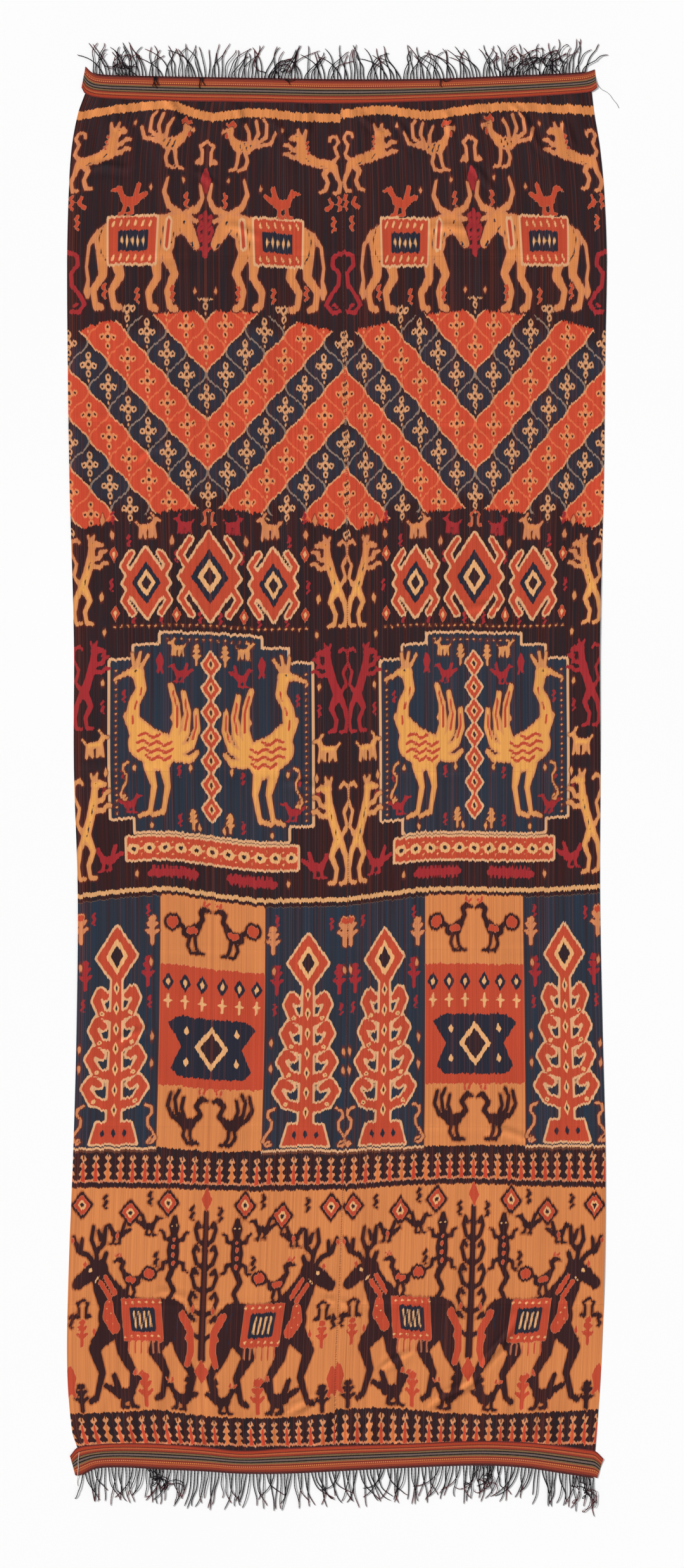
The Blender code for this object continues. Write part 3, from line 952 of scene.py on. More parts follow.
scatter("gold", DOT, [(k * 14, 288) for k in range(7)], size=2.6)
for x, y in ((66, 340), (186, 346), (186, 470)):
    jewel(x, y, {"red": (9, 17), "spark": (4, 8)})
dye("red", OMEGA, 0, 528, size=0.7, both=True)
for x, y, flip in ((60, 196, 1), (160, -76, -1)):
    dye("crimson", SMALL_BIRD, x, y, size=0.9, flip=flip)
dye("gold", GOAT, 66, 252, size=0.6)
spots = ((186, 546), (64, 462), (20, 334), (156, 496), (192, 404), (150, 334), (96, 334))
scatter("crimson", WORM, spots, size=0.8)
dye("gold", GOAT, 118, 500, size=0.85, flip=-1)
dye("crimson", GOAT, 48, 508, size=0.7)
dye("gold", SNAKE, 162, -50, size=(0.46, 0.62), flip=-1)
caterpillar = [(34, 0, 7, 122, -4, 7)] + [(x, -12, 2.6, x, 10, 2.6) for x in range(36, 124, 9)]
dye("crimson", caterpillar, 0, -200)
motif(CLIMBER, 237, 322, size=(1.04, 1.22), flip=-1)
dye("crimson", CLIMBER["gold"], 237, 104, size=(1.04, 1.2), flip=-1)
dye("gold", GOAT, 226, 44, size=0.9, flip=-1)
motif(CLIMBER, 237, -208, size=(1.06, 1.44), flip=-1)
dye("crimson", SMALL_BIRD, 208, -194, size=1.15)
scatter("gold", lozenge(4, 11), ((208, 306), (206, 12), (150, -204), (212, 200)))
scatter("crimson", WORM, ((210, 250), (212, 150), (210, -22)), size=0.8)
scatter("gold", DOT, [(k * 13.4, 318) for k in range(15)], size=2.8)

# The panel field. Gold panels with birds and a patterned red square alternate with navy ones that hold a
# tall hooked tree each, in red with a pale tied outline.
dye("navy", block(280, -772, -252))
PANEL_HALF = 104
TREE_X = 190  # the middle of each navy panel's tree
dye("sand", block(PANEL_HALF, -772, -250))
motif(PEACOCK, 46, -366, size=(1.0, 1.05), flip=-1)
motif(LONG_BIRD, 44, -756, size=(1.0, 1.2), flip=-1)
dye("red", block(PANEL_HALF, -640, -392))
for x in (20, 54, 88):
    jewel(x, -428, {"ink": (12, 20), "spark": (5, 10)})
    dye("spark", ((0, -12, 2.6, 0, 14, 2.6), (-7, 2, 2.4, 7, 2, 2.4)), x, -468)
STEPPED = ((0, -496), (64, -496), (88, -512), (60, -556), (80, -604), (64, -620), (0, -620))
dye("ink", (STEPPED,), both=True)
jewel(0, -557, {"spark": (34, 46), "heart": (23, 32)})
scatter("spark", lozenge(6, 10), ((50, -526), (50, -588)))
dye("red", hooked_tree(330, 58, 4, 9), TREE_X, -724, both=True, rim=4.5)
jewel(TREE_X, -372, {"red": (40, 62), "spark": (22, 38), "heart": (13, 24)}, {"red": 4.5})
dye("red", (((-46, -760), (46, -760), (34, -716), (-34, -716)),), TREE_X, 0, rim=4.5)
for k in range(7):
    jewel(TREE_X, -690 + k * 42, {"spark": (6.5, 15), "heart": (2.6, 8)})
for x, y in ((41, -672), (36, -611), (32, -550), (28, -489)):
    for way in (1, -1):
        eyelet(TREE_X + way * x, y, 4.8, 2)
scatter("ink", lozenge(5, 11), [(TREE_X + x, -738) for x in (-22, 0, 22)])
scatter("crimson", WORM, ((128, -282), (236, -290), (124, -470), (256, -470)), size=0.8)
scatter("crimson", SPRIG, ((128, -436), (252, -436)), size=1.3)
spots = ((122, -388), (262, -388), (262, -560), (118, -540), (118, -596), (262, -600))
scatter("gold", lozenge(4, 13), spots)
for x, flip in ((128, 1), (250, -1)):
    dye("gold", SNAKE, x, -762, size=0.62, flip=flip)
dye("gold", SPRIG, 262, -336, size=(1.5, 1.3))
dye("red", DOT, 262, -284, size=7)
dye("gold", SPRIG, 120, -350, size=(1.4, 1.2))

# The gold-ground field. The threads were left gold here and the figures dyed dark: saddled deer either side
# of a tall tree, with lizards, birds and lozenges above them.
dye("sand", block(290, -1319, -850))
motif(DEER, 134, -1302, size=(0.84, 1.04))
dye("dark", hooked_tree(330, 30, 5, 4.6), 0, -1200, both=True)
dye("red", lozenge(15, 26), 0, -1228)
dye("red", lozenge(11, 26), 0, -870)
motif(LIZARD, 62, -1066, size=1.02)
motif(PEACOCK, 140, -1084, size=0.92)
for x, size, flip in ((152, 1.5, -1), (42, 1.2, 1)):
    dye("dark", SMALL_BIRD, x, -1312, size=size, flip=flip)
    dye("red", ((12, 47, 2, 14, 53, 2), (19, 46, 2, 23, 51, 2)), x, -1312, size=size, flip=flip)
for x, y in ((150, -902), (246, -886), (76, -880)):
    jewel(x, y, {"dark": (23, 31), "red": (17, 23), "spark": (9, 13), "heart": (5, 7)})
for x, y, flip in ((112, -950, -1), (174, -968, 1)):
    dye("dark", SMALL_BIRD, x, y, size=0.95, flip=flip)
dye("red", FISH, 262, -1290, size=0.9)
dye("dark", SPRIG, 242, -1314, size=(1.5, 1.2))
dye("red", SPRIG, 238, -1180, size=1.2)
spots = ((28, -900), (112, -872), (200, -880), (260, -1128), (96, -1000), (214, -1176), (28, -1256))
scatter("dark", WORM, spots, size=0.9)
dye("dark", OMEGA, 238, -1120, size=0.8, both=True)
dye("red", SPRIG, 112, -1310, size=1.5)
spots = ((174, -950), (236, -1010), (262, -960), (214, -1150), (30, -1160), (20, -1100))
scatter("red", lozenge(4, 11), spots)


# The dyes on the cloth. The edge of every shape shifts a little along the warp from thread to thread,
# which feathers it, and the threads between the fields carry stripes, cells and small trees.
cloth_finish, start, shader = finish("ikat_cotton", 0.88)
AUBERGINE = colour(54, 32, 31)
NIGHT = colour(42, 37, 41)
WINE = colour(74, 33, 34)
NAVY = colour(47, 52, 62)
GOLD = colour(214, 134, 78)
YELLOW_GOLD = colour(228, 160, 84)
PALE = colour(220, 166, 122)
YELLOW_LEVEL = 110.0  # the gold is yellower round this level, for this far up and down
YELLOW_HALF = 330.0
DYE_COLOURS = {
    "navy": NAVY,
    "sand": colour(210, 130, 77),
    "crimson": colour(158, 46, 50),
    "gold": GOLD,
    "dark": colour(56, 34, 35),
    "red": colour(188, 73, 50),
    "ink": colour(42, 43, 54),
    "spark": colour(226, 168, 114),
    "heart": colour(52, 38, 42),
}
THREAD = 1.1  # millimetres across two warp threads
BUNDLE = 4.6  # across the threads tied together
# How far a shape's edge moves from thread to thread, from bundle to bundle, and slowly over the cloth.
THREAD_SHIFT = 2.2
BUNDLE_SHIFT = 11.0
SLOW_SHIFT = 9.0
PICK = 1.7  # millimetres from one weft thread to the next

# The seed is 0 on the left width and 1 on the right, and keeps their threads and streaks from matching.
x, y, seed = start.stored("cloth")
thread_number = (x / THREAD).whole() + seed * 977.0
thread = start.speckle(thread_number)
bundle = start.noise(x / BUNDLE + seed * 31.0, seed * 7.0, detail=1.0)
slow = start.noise(x / 11.0 + seed * 17.0, y / 90.0)
shift = (thread - 0.5) * THREAD_SHIFT + (bundle - 0.5) * BUNDLE_SHIFT + (slow - 0.5) * SLOW_SHIFT
warp_y = y + shift

tone = start.noise(x / 2.3 + seed * 13.0, y / 150.0, detail=3.0)
streak = start.noise(x / 6.0 + seed * 5.0, y / 420.0, detail=2.0)
patch = start.noise(x / 90.0 + seed * 3.0, y / 140.0, detail=3.0)

ground = colour_mix(AUBERGINE, NIGHT, (0.47 - streak).inside(0.16))
ground = ground.over(WINE, (0.55 - tone).inside(0.2) * 0.5)


def dye_mask(name):
    """The distance to a dye's feathered edge, where the dye took, and where its pale edge shows."""
    field, slope, rim = start.stored(name + "_dye")
    shifted = field + shift * slope
    return shifted, shifted.inside(1.2), (shifted - rim).inside(1.2)


# The brown-red rims that some dyes bled into the ground round them.
BLED = {"gold": colour(104, 46, 36), "dark": colour(150, 76, 44), "sand": colour(96, 48, 40)}
BLED_WIDTH = 2.2
HALO_WIDTH = 3.2  # inside a gold shape's edge, where the binding let some red in


def lay_dyes(colour_so_far, names):
    """Lays dyes over a colour in this order, each with its pale edge or its bled rim."""
    for name in names:
        shifted, taken, edge = dye_mask(name)
        if name in ("navy", "red"):
            colour_so_far = colour_so_far.over(PALE, edge)
        shade = DYE_COLOURS[name]
        if name == "navy":
            shade = colour_mix(NAVY, colour(52, 40, 47), (streak - 0.42).inside(0.1) * 0.75)
            shade = shade.over(colour(38, 56, 76), (0.58 - streak).inside(0.12) * 0.5)
        if name == "gold":
            shade = colour_mix(GOLD, YELLOW_GOLD, (abs(y - YELLOW_LEVEL) - YELLOW_HALF).inside(60.0))
        if name in BLED:
            colour_so_far = colour_so_far.over(BLED[name], (shifted - BLED_WIDTH).inside(2.4) * 0.7)
        colour_so_far = colour_so_far.over(shade, taken)
        if name == "gold":
            core = (shifted + HALO_WIDTH).inside(2.5)
            colour_so_far = colour_so_far.over(colour(198, 126, 92), taken * (1 - core) * 0.6)
    return colour_so_far


# The chevrons. Rows of pointed cells, red and navy in turn, that rise from the middle of each width. Each
# cell holds a small flower and is bounded by a pale line, where two dyes meet.
CELL_COLUMN = 38.0  # from one column of cells to the next
CELL_ROW = 103.5  # from one cell of a column to the next
CELL_RISE = 45.5  # of each column over the one nearer the middle
CELL_START = 590.0  # the level of a cell in the middle column
CHEVRON_TOP = 975.0
CHEVRON_BOTTOM = 562.0
CHEVRON_BOW = 46.0  # how much lower both ends of the field lie at a width's edges
CHEVRON_FEATHER = 1.6  # those ends shift this many times as far as other edges
CHEVRON_REACH = 34.0  # how far past them the dyes of the field may go
from_middle = abs(x)
bow = (from_middle / PATTERN_HALF) * (from_middle / PATTERN_HALF) * CHEVRON_BOW
chevron_top = y + shift * CHEVRON_FEATHER + bow - CHEVRON_TOP
chevron_bottom = CHEVRON_BOTTOM - bow - y - shift * CHEVRON_FEATHER
column = (from_middle / CELL_COLUMN).whole()


def cell_column(index):
    """How far outside its column's nearest cell a point is, that cell's number, and the way to its middle."""
    height = (warp_y - CELL_START - index * CELL_RISE) / CELL_ROW
    number = height.nearest_whole()
    along = height - number
    across = from_middle - index * CELL_COLUMN
    reach = (along * (2 * math.pi)).cosine() * 0.5 + 0.5
    return abs(across) - reach * CELL_COLUMN, number, across, along * CELL_ROW


near, near_number, near_x, near_y = cell_column(column)
next_, next_number, next_x, next_y = cell_column(column + 1.0)
nearer = (near - next_).inside(0.01)


def pick(first, second):
    """The first value where the near column's cell is the closer one, and else the second."""
    return first * nearer + second * (1 - nearer)


number = pick(near_number, next_number)
cell_x, cell_y = abs(pick(near_x, next_x)), pick(near_y, next_y)
is_red = abs((number * 0.5 - (number * 0.5).nearest_whole()) * 2.0)
same_row = (abs(near_number - next_number) - 0.5).inside(0.1)
on_line = (abs(near - next_) - 4.6).inside(2.4)
outside = chevron_top.most(chevron_bottom)


def round_spot(spot_y, across, radius, tall=1.0):
    """Distance to a round or tall spot of the cell, below zero inside it."""
    dx, dy = cell_x - across, (cell_y - spot_y) / tall
    return (dx * dx + dy * dy).power(0.5) - radius


# Height and distance across from the cell's middle, radius, and how much taller than wide.
PETALS = (
    (0.0, 10.5, 6.0, 1.1),
    (18.5, 0.0, 5.4, 1.5),
    (-18.5, 0.0, 5.0, 1.5),
    (0.0, 0.0, 6.0, 1.8),
    (-33.0, 0.0, 1.8, 1.8),
)
EYES = ((0.0, 11.5, 2.2, 1.2), (0.0, 0.0, 3.2, 1.2), (20.0, 0.0, 2.2, 1.5), (-19.0, 0.0, 2.1, 1.6))
petals, eyes = round_spot(*PETALS[0]), round_spot(*EYES[0])
for spot in PETALS[1:]:
    petals = petals.least(round_spot(*spot))
for spot in EYES[1:]:
    eyes = eyes.least(round_spot(*spot))
FLOWERS_ABOVE = 26.0  # how far the last navy cells' flowers may stand past the field's upper end
FLOWERS_BELOW = 12.0  # and past its lower one
NAVY_FADE = 34.0  # how far inside the ends the navy has faded by half
navy_fill = colour_mix(colour(46, 51, 63), colour(58, 42, 46), (0.5 - bundle).inside(0.2) * 0.8)
navy_cell = ground.over(navy_fill, (outside + NAVY_FADE).inside(30.0) * (abs(cell_y) - 30.0).inside(22.0))
chevrons = navy_cell.over(colour(200, 74, 50), is_red * outside.inside(1.6))
line_colour = colour_mix(colour(164, 138, 120), colour(224, 118, 76), is_red)
line_colour = colour_mix(colour(214, 146, 102), line_colour, same_row)
chevrons = chevrons.over(line_colour, on_line * outside.inside(1.6) * (1 - 0.35 * same_row))
above = chevron_top - FLOWERS_ABOVE * (1 - is_red)
below = chevron_bottom - FLOWERS_BELOW * (1 - is_red)
flower_mask = above.most(below).inside(2.0)
flower_colour = colour_mix(colour(212, 152, 108), colour(222, 136, 88), is_red)
chevrons = chevrons.over(flower_colour, petals.inside(1.6) * flower_mask)
chevrons = chevrons.over(colour(58, 37, 38), eyes.inside(1.2) * flower_mask)

cloth_colour = lay_dyes(ground, ("navy", "sand"))


def stripe(colour_so_far, height, half_width, new_colour, where=1.0):
    """A stripe across the warp, feathered like the rest, in the part of the width that where marks."""
    return colour_so_far.over(new_colour, (abs(warp_y - height) - half_width).inside(1.4) * where)


TREE_STEP = 24.5  # from one small tree to the next
KNOB_STEP = 16.0  # from one knob of a tree's stem to the next
KNOB_SIZE = 2.7
STEM_HALF = 6.4  # half a stem's width at its foot, without its knobs
STEM_TAPER = 0.06  # how much of that is lost for each millimetre up
TREE_HEIGHT = 54.0
TREE_ABOVE = 9.0  # the foot of a tree over the border's lower edge
FOOT_HALF = 19.0  # half the height of the coloured core at its foot


def tree_border(colour_so_far, low, high, lined):
    """A dark border with a row of small trees on a pale line; lined says where a pale line tops it too."""
    middle, half_height = (low + high) / 2, (high - low) / 2
    colour_so_far = colour_so_far.over(ground, (abs(warp_y - middle) - half_height).inside(1.2))
    colour_so_far = stripe(colour_so_far, high - 2, 2.6, PALE, lined)
    colour_so_far = stripe(colour_so_far, high - 7, 2.4, colour(104, 62, 48), lined)
    colour_so_far = stripe(colour_so_far, low + 10, 2.6, colour(196, 122, 88))
    step = (x + 4.0 * start.noise(x / 40.0 + seed * 9.0)) / TREE_STEP
    tree_x = abs(step - step.nearest_whole()) * TREE_STEP
    tree_height = TREE_HEIGHT + 4.0 * start.speckle(step.nearest_whole() + seed * 41.0)
    up = warp_y - (low + TREE_ABOVE)
    knobs = (up * (2 * math.pi / KNOB_STEP)).cosine() * KNOB_SIZE
    width = STEM_HALF - up * STEM_TAPER + knobs
    on_stem = (abs(up - tree_height * 0.5) - tree_height * 0.5).inside(1.0)
    colour_so_far = colour_so_far.over(colour(210, 140, 96), (tree_x - width).inside(1.6) * on_stem)
    notch = (tree_x - 1.3).inside(0.8) * (tree_height - 9.0 - up).inside(1.0)
    colour_so_far = colour_so_far.over(colour(70, 44, 44), notch * on_stem)
    at_foot = (abs(up - FOOT_HALF) - FOOT_HALF).inside(1.0)
    core = start.speckle(step.nearest_whole() + seed * 23.0)
    core_colour = colour_mix(colour(194, 70, 48), colour(214, 120, 66), (0.72 - core).inside(0.3))
    return colour_so_far.over(core_colour, (tree_x - (4.4 - up * 0.07)).inside(1.2) * at_foot)


cloth_colour = cloth_colour.over(chevrons, (outside - CHEVRON_REACH).inside(1.6))
cloth_colour = lay_dyes(cloth_colour, ("crimson", "gold", "dark", "red", "ink", "spark", "heart"))
cloth_colour = stripe(cloth_colour, 1372, 9, GOLD)
cloth_colour = stripe(cloth_colour, -238, 4.6, colour(216, 160, 108))
cloth_colour = tree_border(cloth_colour, -846, -768, (PANEL_HALF - from_middle).inside(2.0))
cloth_colour = tree_border(cloth_colour, -1391, -1320, 0.0)
# Painted shade: a dark line is painted along each storage fold, where the fold's shade falls.
fold_y = (start.node("ShaderNodeTexCoord", output=3).parts()[1] - SHIFT_Y) / MM + (tone - 0.5) * 5.0
fold_shade = 0.0
for height, sharpness in STORAGE_FOLDS:
    fold_shade = (abs(fold_y - height) - 0.5).inside(3.0) * sharpness + fold_shade
EVEN_THREADS = 0.86  # the other threads are a little redder
odd_thread = (EVEN_THREADS - start.speckle(thread_number + 0.37)).inside(0.02) * 0.18
cloth_colour = cloth_colour.over(colour(150, 70, 50), odd_thread)
light_and_dark = 0.70 + 0.20 * tone + 0.22 * thread + 0.20 * patch
# Painted light and shade on the creases: crests, which stand above their surroundings in the stored relief,
# are painted lighter, hollows darker, and the fold lines darker still.
relief = start.stored("relief")[0]
painted_crease_shade = 1 + 0.32 * relief - 0.42 * fold_shade * patch
feed(cloth_colour.scaled(light_and_dark * painted_crease_shade), shader, "Base Color")
feed(0.80 + 0.14 * tone, shader, "Roughness")
rib = (x * (2 * math.pi / THREAD)).cosine() * 0.5 + thread
pick_line = (y * (2 * math.pi / PICK)).cosine() * 0.3
emboss(rib + pick_line + tone * 2.0, shader, 0.35, 0.4 * MM)


# The flat map of a width, in shares of the map: its upper face in two strips, then its underside.
MAP_MARGIN = 0.005
MAP_LENGTH = 0.99
STRIP_WIDTH = 0.385
STRIP_STEP = 0.395
UNDERSIDE_START = 0.795
UNDERSIDE_WIDTH = 0.2
MAP_RIM = 0.004
SELVEDGE_CURVE = 3.0  # millimetres in which a selvedge rounds over
FLAT_EDGE = 12  # millimetres beside a selvedge in which the creases die away
HOLLOW = 0.5 * MM  # how far a crease rises before the underside rises with it
RELIEF_REACH = 3  # rows or columns to each side that a crossing's height is set against
SHARP_ANGLE = math.radians(50)


def smooth_faces(obj):
    """Shades a piece smooth except over its sharp edges."""
    obj.data.shade_smooth()
    obj.data.set_sharp_from_angle(angle=SHARP_ANGLE)


def loom_width(side, name, node):
    """The finished width: its fine upper face, its plain underside and the narrow faces round its rim."""
    x, y, pattern_x, pattern_y = grids[side]
    warp = warps[side]
    rows, columns = x.shape
    u = np.linspace(0, 1, columns)
    from_edge = np.minimum(u, 1 - u) * (x[:, -1:] - x[:, :1])
    drop = SELVEDGE_DROP * np.exp(-((from_edge / SELVEDGE_CURVE) ** 2))
    wrinkle = creases(x, y) * np.clip(from_edge / FLAT_EDGE, 0.15, 1)
    base = ridge_height(x, y) + np.maximum(wrinkle - HOLLOW, 0)
    top_z = ridge_height(x, y) + CLOTH_THICKNESS + wrinkle - drop
    top = np.stack([x * MM + SHIFT_X, y * MM + SHIFT_Y, top_z], -1).reshape(-1, 3)
    pick_rows = np.arange(0, rows, COARSE_STEP)
    pick_columns = np.arange(0, columns, COARSE_STEP)
    coarse = np.ix_(pick_rows, pick_columns)
    under = np.stack([x[coarse] * MM + SHIFT_X, y[coarse] * MM + SHIFT_Y, base[coarse]], -1).reshape(-1, 3)

    fine = np.arange(rows * columns).reshape(rows, columns)
    low = rows * columns + np.arange(len(under)).reshape(len(pick_rows), len(pick_columns))
    above = grid_faces(fine).tolist()
    below = grid_faces(low, TURNED_OVER).tolist()
    edges = (
        (fine[0], low[0], (0, -1)),
        (fine[:, -1], low[:, -1], (1, 0)),
        (fine[-1, ::-1], low[-1, ::-1], (0, 1)),
        (fine[::-1, 0], low[::-1, 0], (-1, 0)),
    )
    rims = []  # two corners of the underside, those of the upper face over them, and which way it faces
    for upper, lower, way in edges:
        for k in range(len(lower) - 1):
            run = upper[k * COARSE_STEP : (k + 1) * COARSE_STEP + 1][::-1]
            rims.append((lower[k : k + 2].tolist(), run.tolist(), way))
    faces = above + below + [feet + run for feet, run, _ in rims]
    obj = mesh_object(name, np.concatenate([top, under]).tolist(), faces, cloth_finish)

    def add_both_faces(label, *parts):
        values = np.stack(parts, -1)
        add_vectors(obj, label, np.concatenate([values.reshape(-1, 3), values[coarse].reshape(-1, 3)]))

    seed = np.full(x.shape, 0.0 if side == "left" else 1.0)
    add_both_faces("cloth", pattern_x, pattern_y, seed)
    # The relief of each crossing against those round it, which the cloth's finish turns into painted light on
    # crests and painted shade in hollows.
    reach = RELIEF_REACH
    wide = np.pad(wrinkle / MM, reach, mode="edge")
    inner = slice(reach, -reach)
    before, after = slice(None, -2 * reach), slice(2 * reach, None)
    around = (wide[before, inner] + wide[after, inner] + wide[inner, before] + wide[inner, after]) / 4
    relief = np.clip(wrinkle / MM - around, -0.9, 0.7)
    add_both_faces("relief", relief, relief, relief)
    for dye_name in warp.DYES:
        field = warp.field[dye_name]
        slope = np.gradient(field, axis=0) / np.gradient(pattern_y, axis=0)
        add_both_faces(dye_name + "_dye", field, np.clip(slope, -1, 1), warp.rim[dye_name])
    flat_map = obj.data.uv_layers.new(name="OFBake")
    split = COARSE_STEP * (rows // (2 * COARSE_STEP))
    row_share = MAP_LENGTH / (rows - 1 - split)

    def places_above(numbers):
        strip = int(min(numbers) // columns >= split)
        start_u = MAP_MARGIN + STRIP_STEP * strip
        spots = [divmod(v, columns) for v in numbers]
        return [
            (start_u + STRIP_WIDTH * j / (columns - 1), MAP_MARGIN + (i - split * strip) * row_share)
            for i, j in spots
        ]

    corners = []
    for quad in above:
        corners += places_above(quad)
    step_u, step_v = UNDERSIDE_WIDTH / (len(pick_columns) - 1), MAP_LENGTH / (len(pick_rows) - 1)
    for quad in below:
        spots = [divmod(v - rows * columns, len(pick_columns)) for v in quad]
        corners += [(UNDERSIDE_START + j * step_u, MAP_MARGIN + i * step_v) for i, j in spots]
    for _, run, (out_x, out_y) in rims:
        places = places_above(run)
        corners += [(u + MAP_RIM * out_x, v + MAP_RIM * out_y) for u, v in (places[-1], places[0])]
        corners += places
    flat_map.data.foreach_set("uv", np.array(corners, np.float32).ravel())
    smooth_faces(obj)
    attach(obj, "root")
    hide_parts(node)


loom_width("left", "left_ikat_width", "left_loom_width")
loom_width("right", "right_ikat_width", "right_loom_width")


# The seam. The two widths are laid selvedge to selvedge and oversewn by hand, edge to edge, with a dark
# cotton thread in short slanting stitches.
STITCH_PITCH = 4.6 * MM
STITCH_THREAD = 0.4 * MM
STITCH_REACH = 1.7 * MM  # to either side of the seam
STITCH_SLANT = 0.45  # along the seam, for each millimetre of reach
STITCH_FOOT = 0.05 * MM  # of its ends off the cloth
STITCH_RISE = 1.1 * MM  # of its arch
STITCH_POINTS = 6
STRAY_ACROSS = 0.9 * MM  # how unevenly the stitches are set
STRAY_ALONG = 2.2 * MM


def flecked_thread(name, pale, deep, axis, fineness):
    """The finish of a thread whose colour wanders along X, axis 0, or along Y, axis 1."""
    material, start, shader = finish(name, 0.8)
    fleck = start.noise(start.node("ShaderNodeTexCoord", output=3).parts()[axis] * fineness)
    feed(colour_mix(pale, deep, fleck), shader, "Base Color")
    return material


thread_finish = flecked_thread("dark_sewing_thread", colour(112, 58, 46), colour(66, 40, 38), 1, 300.0)


def geometry_tree(name, inputs):
    """A tree of geometry nodes: its start value, and its inputs as values, the geometry first."""
    tree = bpy.data.node_groups.new(name, "GeometryNodeTree")
    tree.interface.new_socket("Geometry", in_out="INPUT", socket_type="NodeSocketGeometry")
    tree.interface.new_socket("Geometry", in_out="OUTPUT", socket_type="NodeSocketGeometry")
    for label in inputs:
        tree.interface.new_socket(label, in_out="INPUT", socket_type="NodeSocketFloat")
    start = Value(tree)
    outputs = start.node("NodeGroupInput").socket.node.outputs
    return start, [Value(tree, socket) for socket in outputs[: len(inputs) + 1]]


def tube(curve, sides, radius, flat=1.0, scale=1.0):
    """A solid tube along a curve, flattened by flat and narrowed by scale."""
    ring = curve.node("GeometryNodeCurvePrimitiveCircle", inputs={"Resolution": sides, "Radius": radius})
    oval = curve.node("GeometryNodeTransform", inputs={"Geometry": ring, "Scale": (1.0, flat, 1.0)})
    inputs = {"Curve": curve, "Profile Curve": oval, "Scale": scale, "Fill Caps": True}
    return curve.node("GeometryNodeCurveToMesh", inputs=inputs)


def close_tree(result, material):
    """Ends a tree: instances made real, shaded smooth, with their material."""
    result = result.node("GeometryNodeRealizeInstances", inputs={0: result})
    result = result.node("GeometryNodeSetShadeSmooth", inputs={0: result})
    result = result.node("GeometryNodeSetMaterial", inputs={0: result, "Material": material})
    end = result.tree.nodes.new("NodeGroupOutput")
    result.tree.links.new(result.socket, end.inputs[0])
    return result.tree


def plain_piece(source, name):
    """Turns an object into the mesh that its curve or modifier makes."""
    mesh = bpy.data.meshes.new_from_object(source.evaluated_get(bpy.context.evaluated_depsgraph_get()))
    mesh.name = name
    bpy.data.objects.remove(source)
    return new_object(name, mesh)


def grow(name, points, tree, sizes):
    """The plain mesh that a tree makes along a line of points."""
    line = bpy.data.meshes.new(name + "_line")
    line.from_pydata(points, [(i, i + 1) for i in range(len(points) - 1)], [])
    host = new_object(name + "_line", line)
    modifier = host.modifiers.new("grow", "NODES")
    modifier.node_group = tree
    for item in tree.interface.items_tree:
        if item.in_out == "INPUT" and item.name in sizes:
            modifier[item.identifier] = float(sizes[item.name])
    return plain_piece(host, name)


start, (line, pitch, reach, thread_width) = geometry_tree("oversewn_stitches", ("Pitch", "Reach", "Thread"))
curve = start.node("GeometryNodeMeshToCurve", inputs={0: line})
settings = {"mode": "LENGTH"}
spots = start.node("GeometryNodeResampleCurve", settings, {"Curve": curve, "Length": pitch})
left_end = start.vector(-reach, reach * -STITCH_SLANT, STITCH_FOOT)
right_end = start.vector(reach, reach * STITCH_SLANT, STITCH_FOOT)
middle = (0, 0, STITCH_RISE)
bow_inputs = {"Resolution": STITCH_POINTS - 1, "Start": left_end, "Middle": middle, "End": right_end}
stitch = start.node("GeometryNodeCurveQuadraticBezier", inputs=bow_inputs)
stitches = start.node("GeometryNodeInstanceOnPoints", inputs={"Points": spots, "Instance": stitch})
stitches = start.node("GeometryNodeRealizeInstances", inputs={0: stitches})
stitch_number = ((start.node("GeometryNodeInputIndex") + 0.5) / STITCH_POINTS).whole()
jitter_x = (start.speckle(stitch_number) - 0.5) * STRAY_ACROSS
jitter_y = (start.speckle(stitch_number + 0.5) - 0.5) * STRAY_ALONG
stitch_inputs = {"Geometry": stitches, "Offset": start.vector(jitter_x, jitter_y)}
stitches = start.node("GeometryNodeSetPosition", inputs=stitch_inputs)
stitch_tree = close_tree(tube(stitches, 5, thread_width / 2), thread_finish)

seam_points = []
for y in np.linspace(-1376, 1388, 560):
    x = smooth(SIDES, y, 2)
    lift = ridge_height(np.array([x]), np.array([y]))[0]
    seam_points.append(place(x, y, lift + CLOTH_THICKNESS - 0.25 * MM))
stitch_sizes = {"Pitch": STITCH_PITCH, "Reach": STITCH_REACH, "Thread": STITCH_THREAD}
seam_stitches = grow("seam_stitches", seam_points, stitch_tree, stitch_sizes)
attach(seam_stitches, "root")


# The end bands. A narrow striped band in red, orange, olive and near-black, woven onto the warp ends; its
# own ends flare past the cloth's corners.
BAND_THICKNESS = 2.0 * MM
BAND_STEPS = 12  # faces across a band
BAND_COLUMNS = 420  # and along it
# From the edge next to the cloth, 0, to the edge next to the fringe, 1: where each stripe starts.
BAND_STRIPES = (
    (0.00, (118, 50, 46)),
    (0.05, (176, 68, 46)),
    (0.15, (104, 44, 38)),
    (0.18, (188, 98, 62)),
    (0.25, (160, 64, 48)),
    (0.31, (92, 56, 44)),
    (0.345, (132, 104, 74)),
    (0.405, (44, 36, 36)),
    (0.455, (120, 102, 96)),
    (0.525, (44, 36, 36)),
    (0.575, (130, 102, 74)),
    (0.635, (184, 98, 60)),
    (0.665, (120, 52, 44)),
    (0.70, (150, 58, 48)),
    (0.80, (184, 92, 58)),
    (0.86, (146, 62, 48)),
    (0.95, (104, 50, 44)),
)
DOT_ROW = 0.75  # the middle of the row of small light dots
DOT_STEP = 4.2  # millimetres from one to the next
FLARE_LENGTH = 26  # millimetres of each end that flare
FLARE_RISE = 1.6 * MM
THINNEST = 0.6 * MM
CORD_ROWS = 22  # ribs across a band
BEAD_STEP = 2.1  # from one bead of a rib to the next

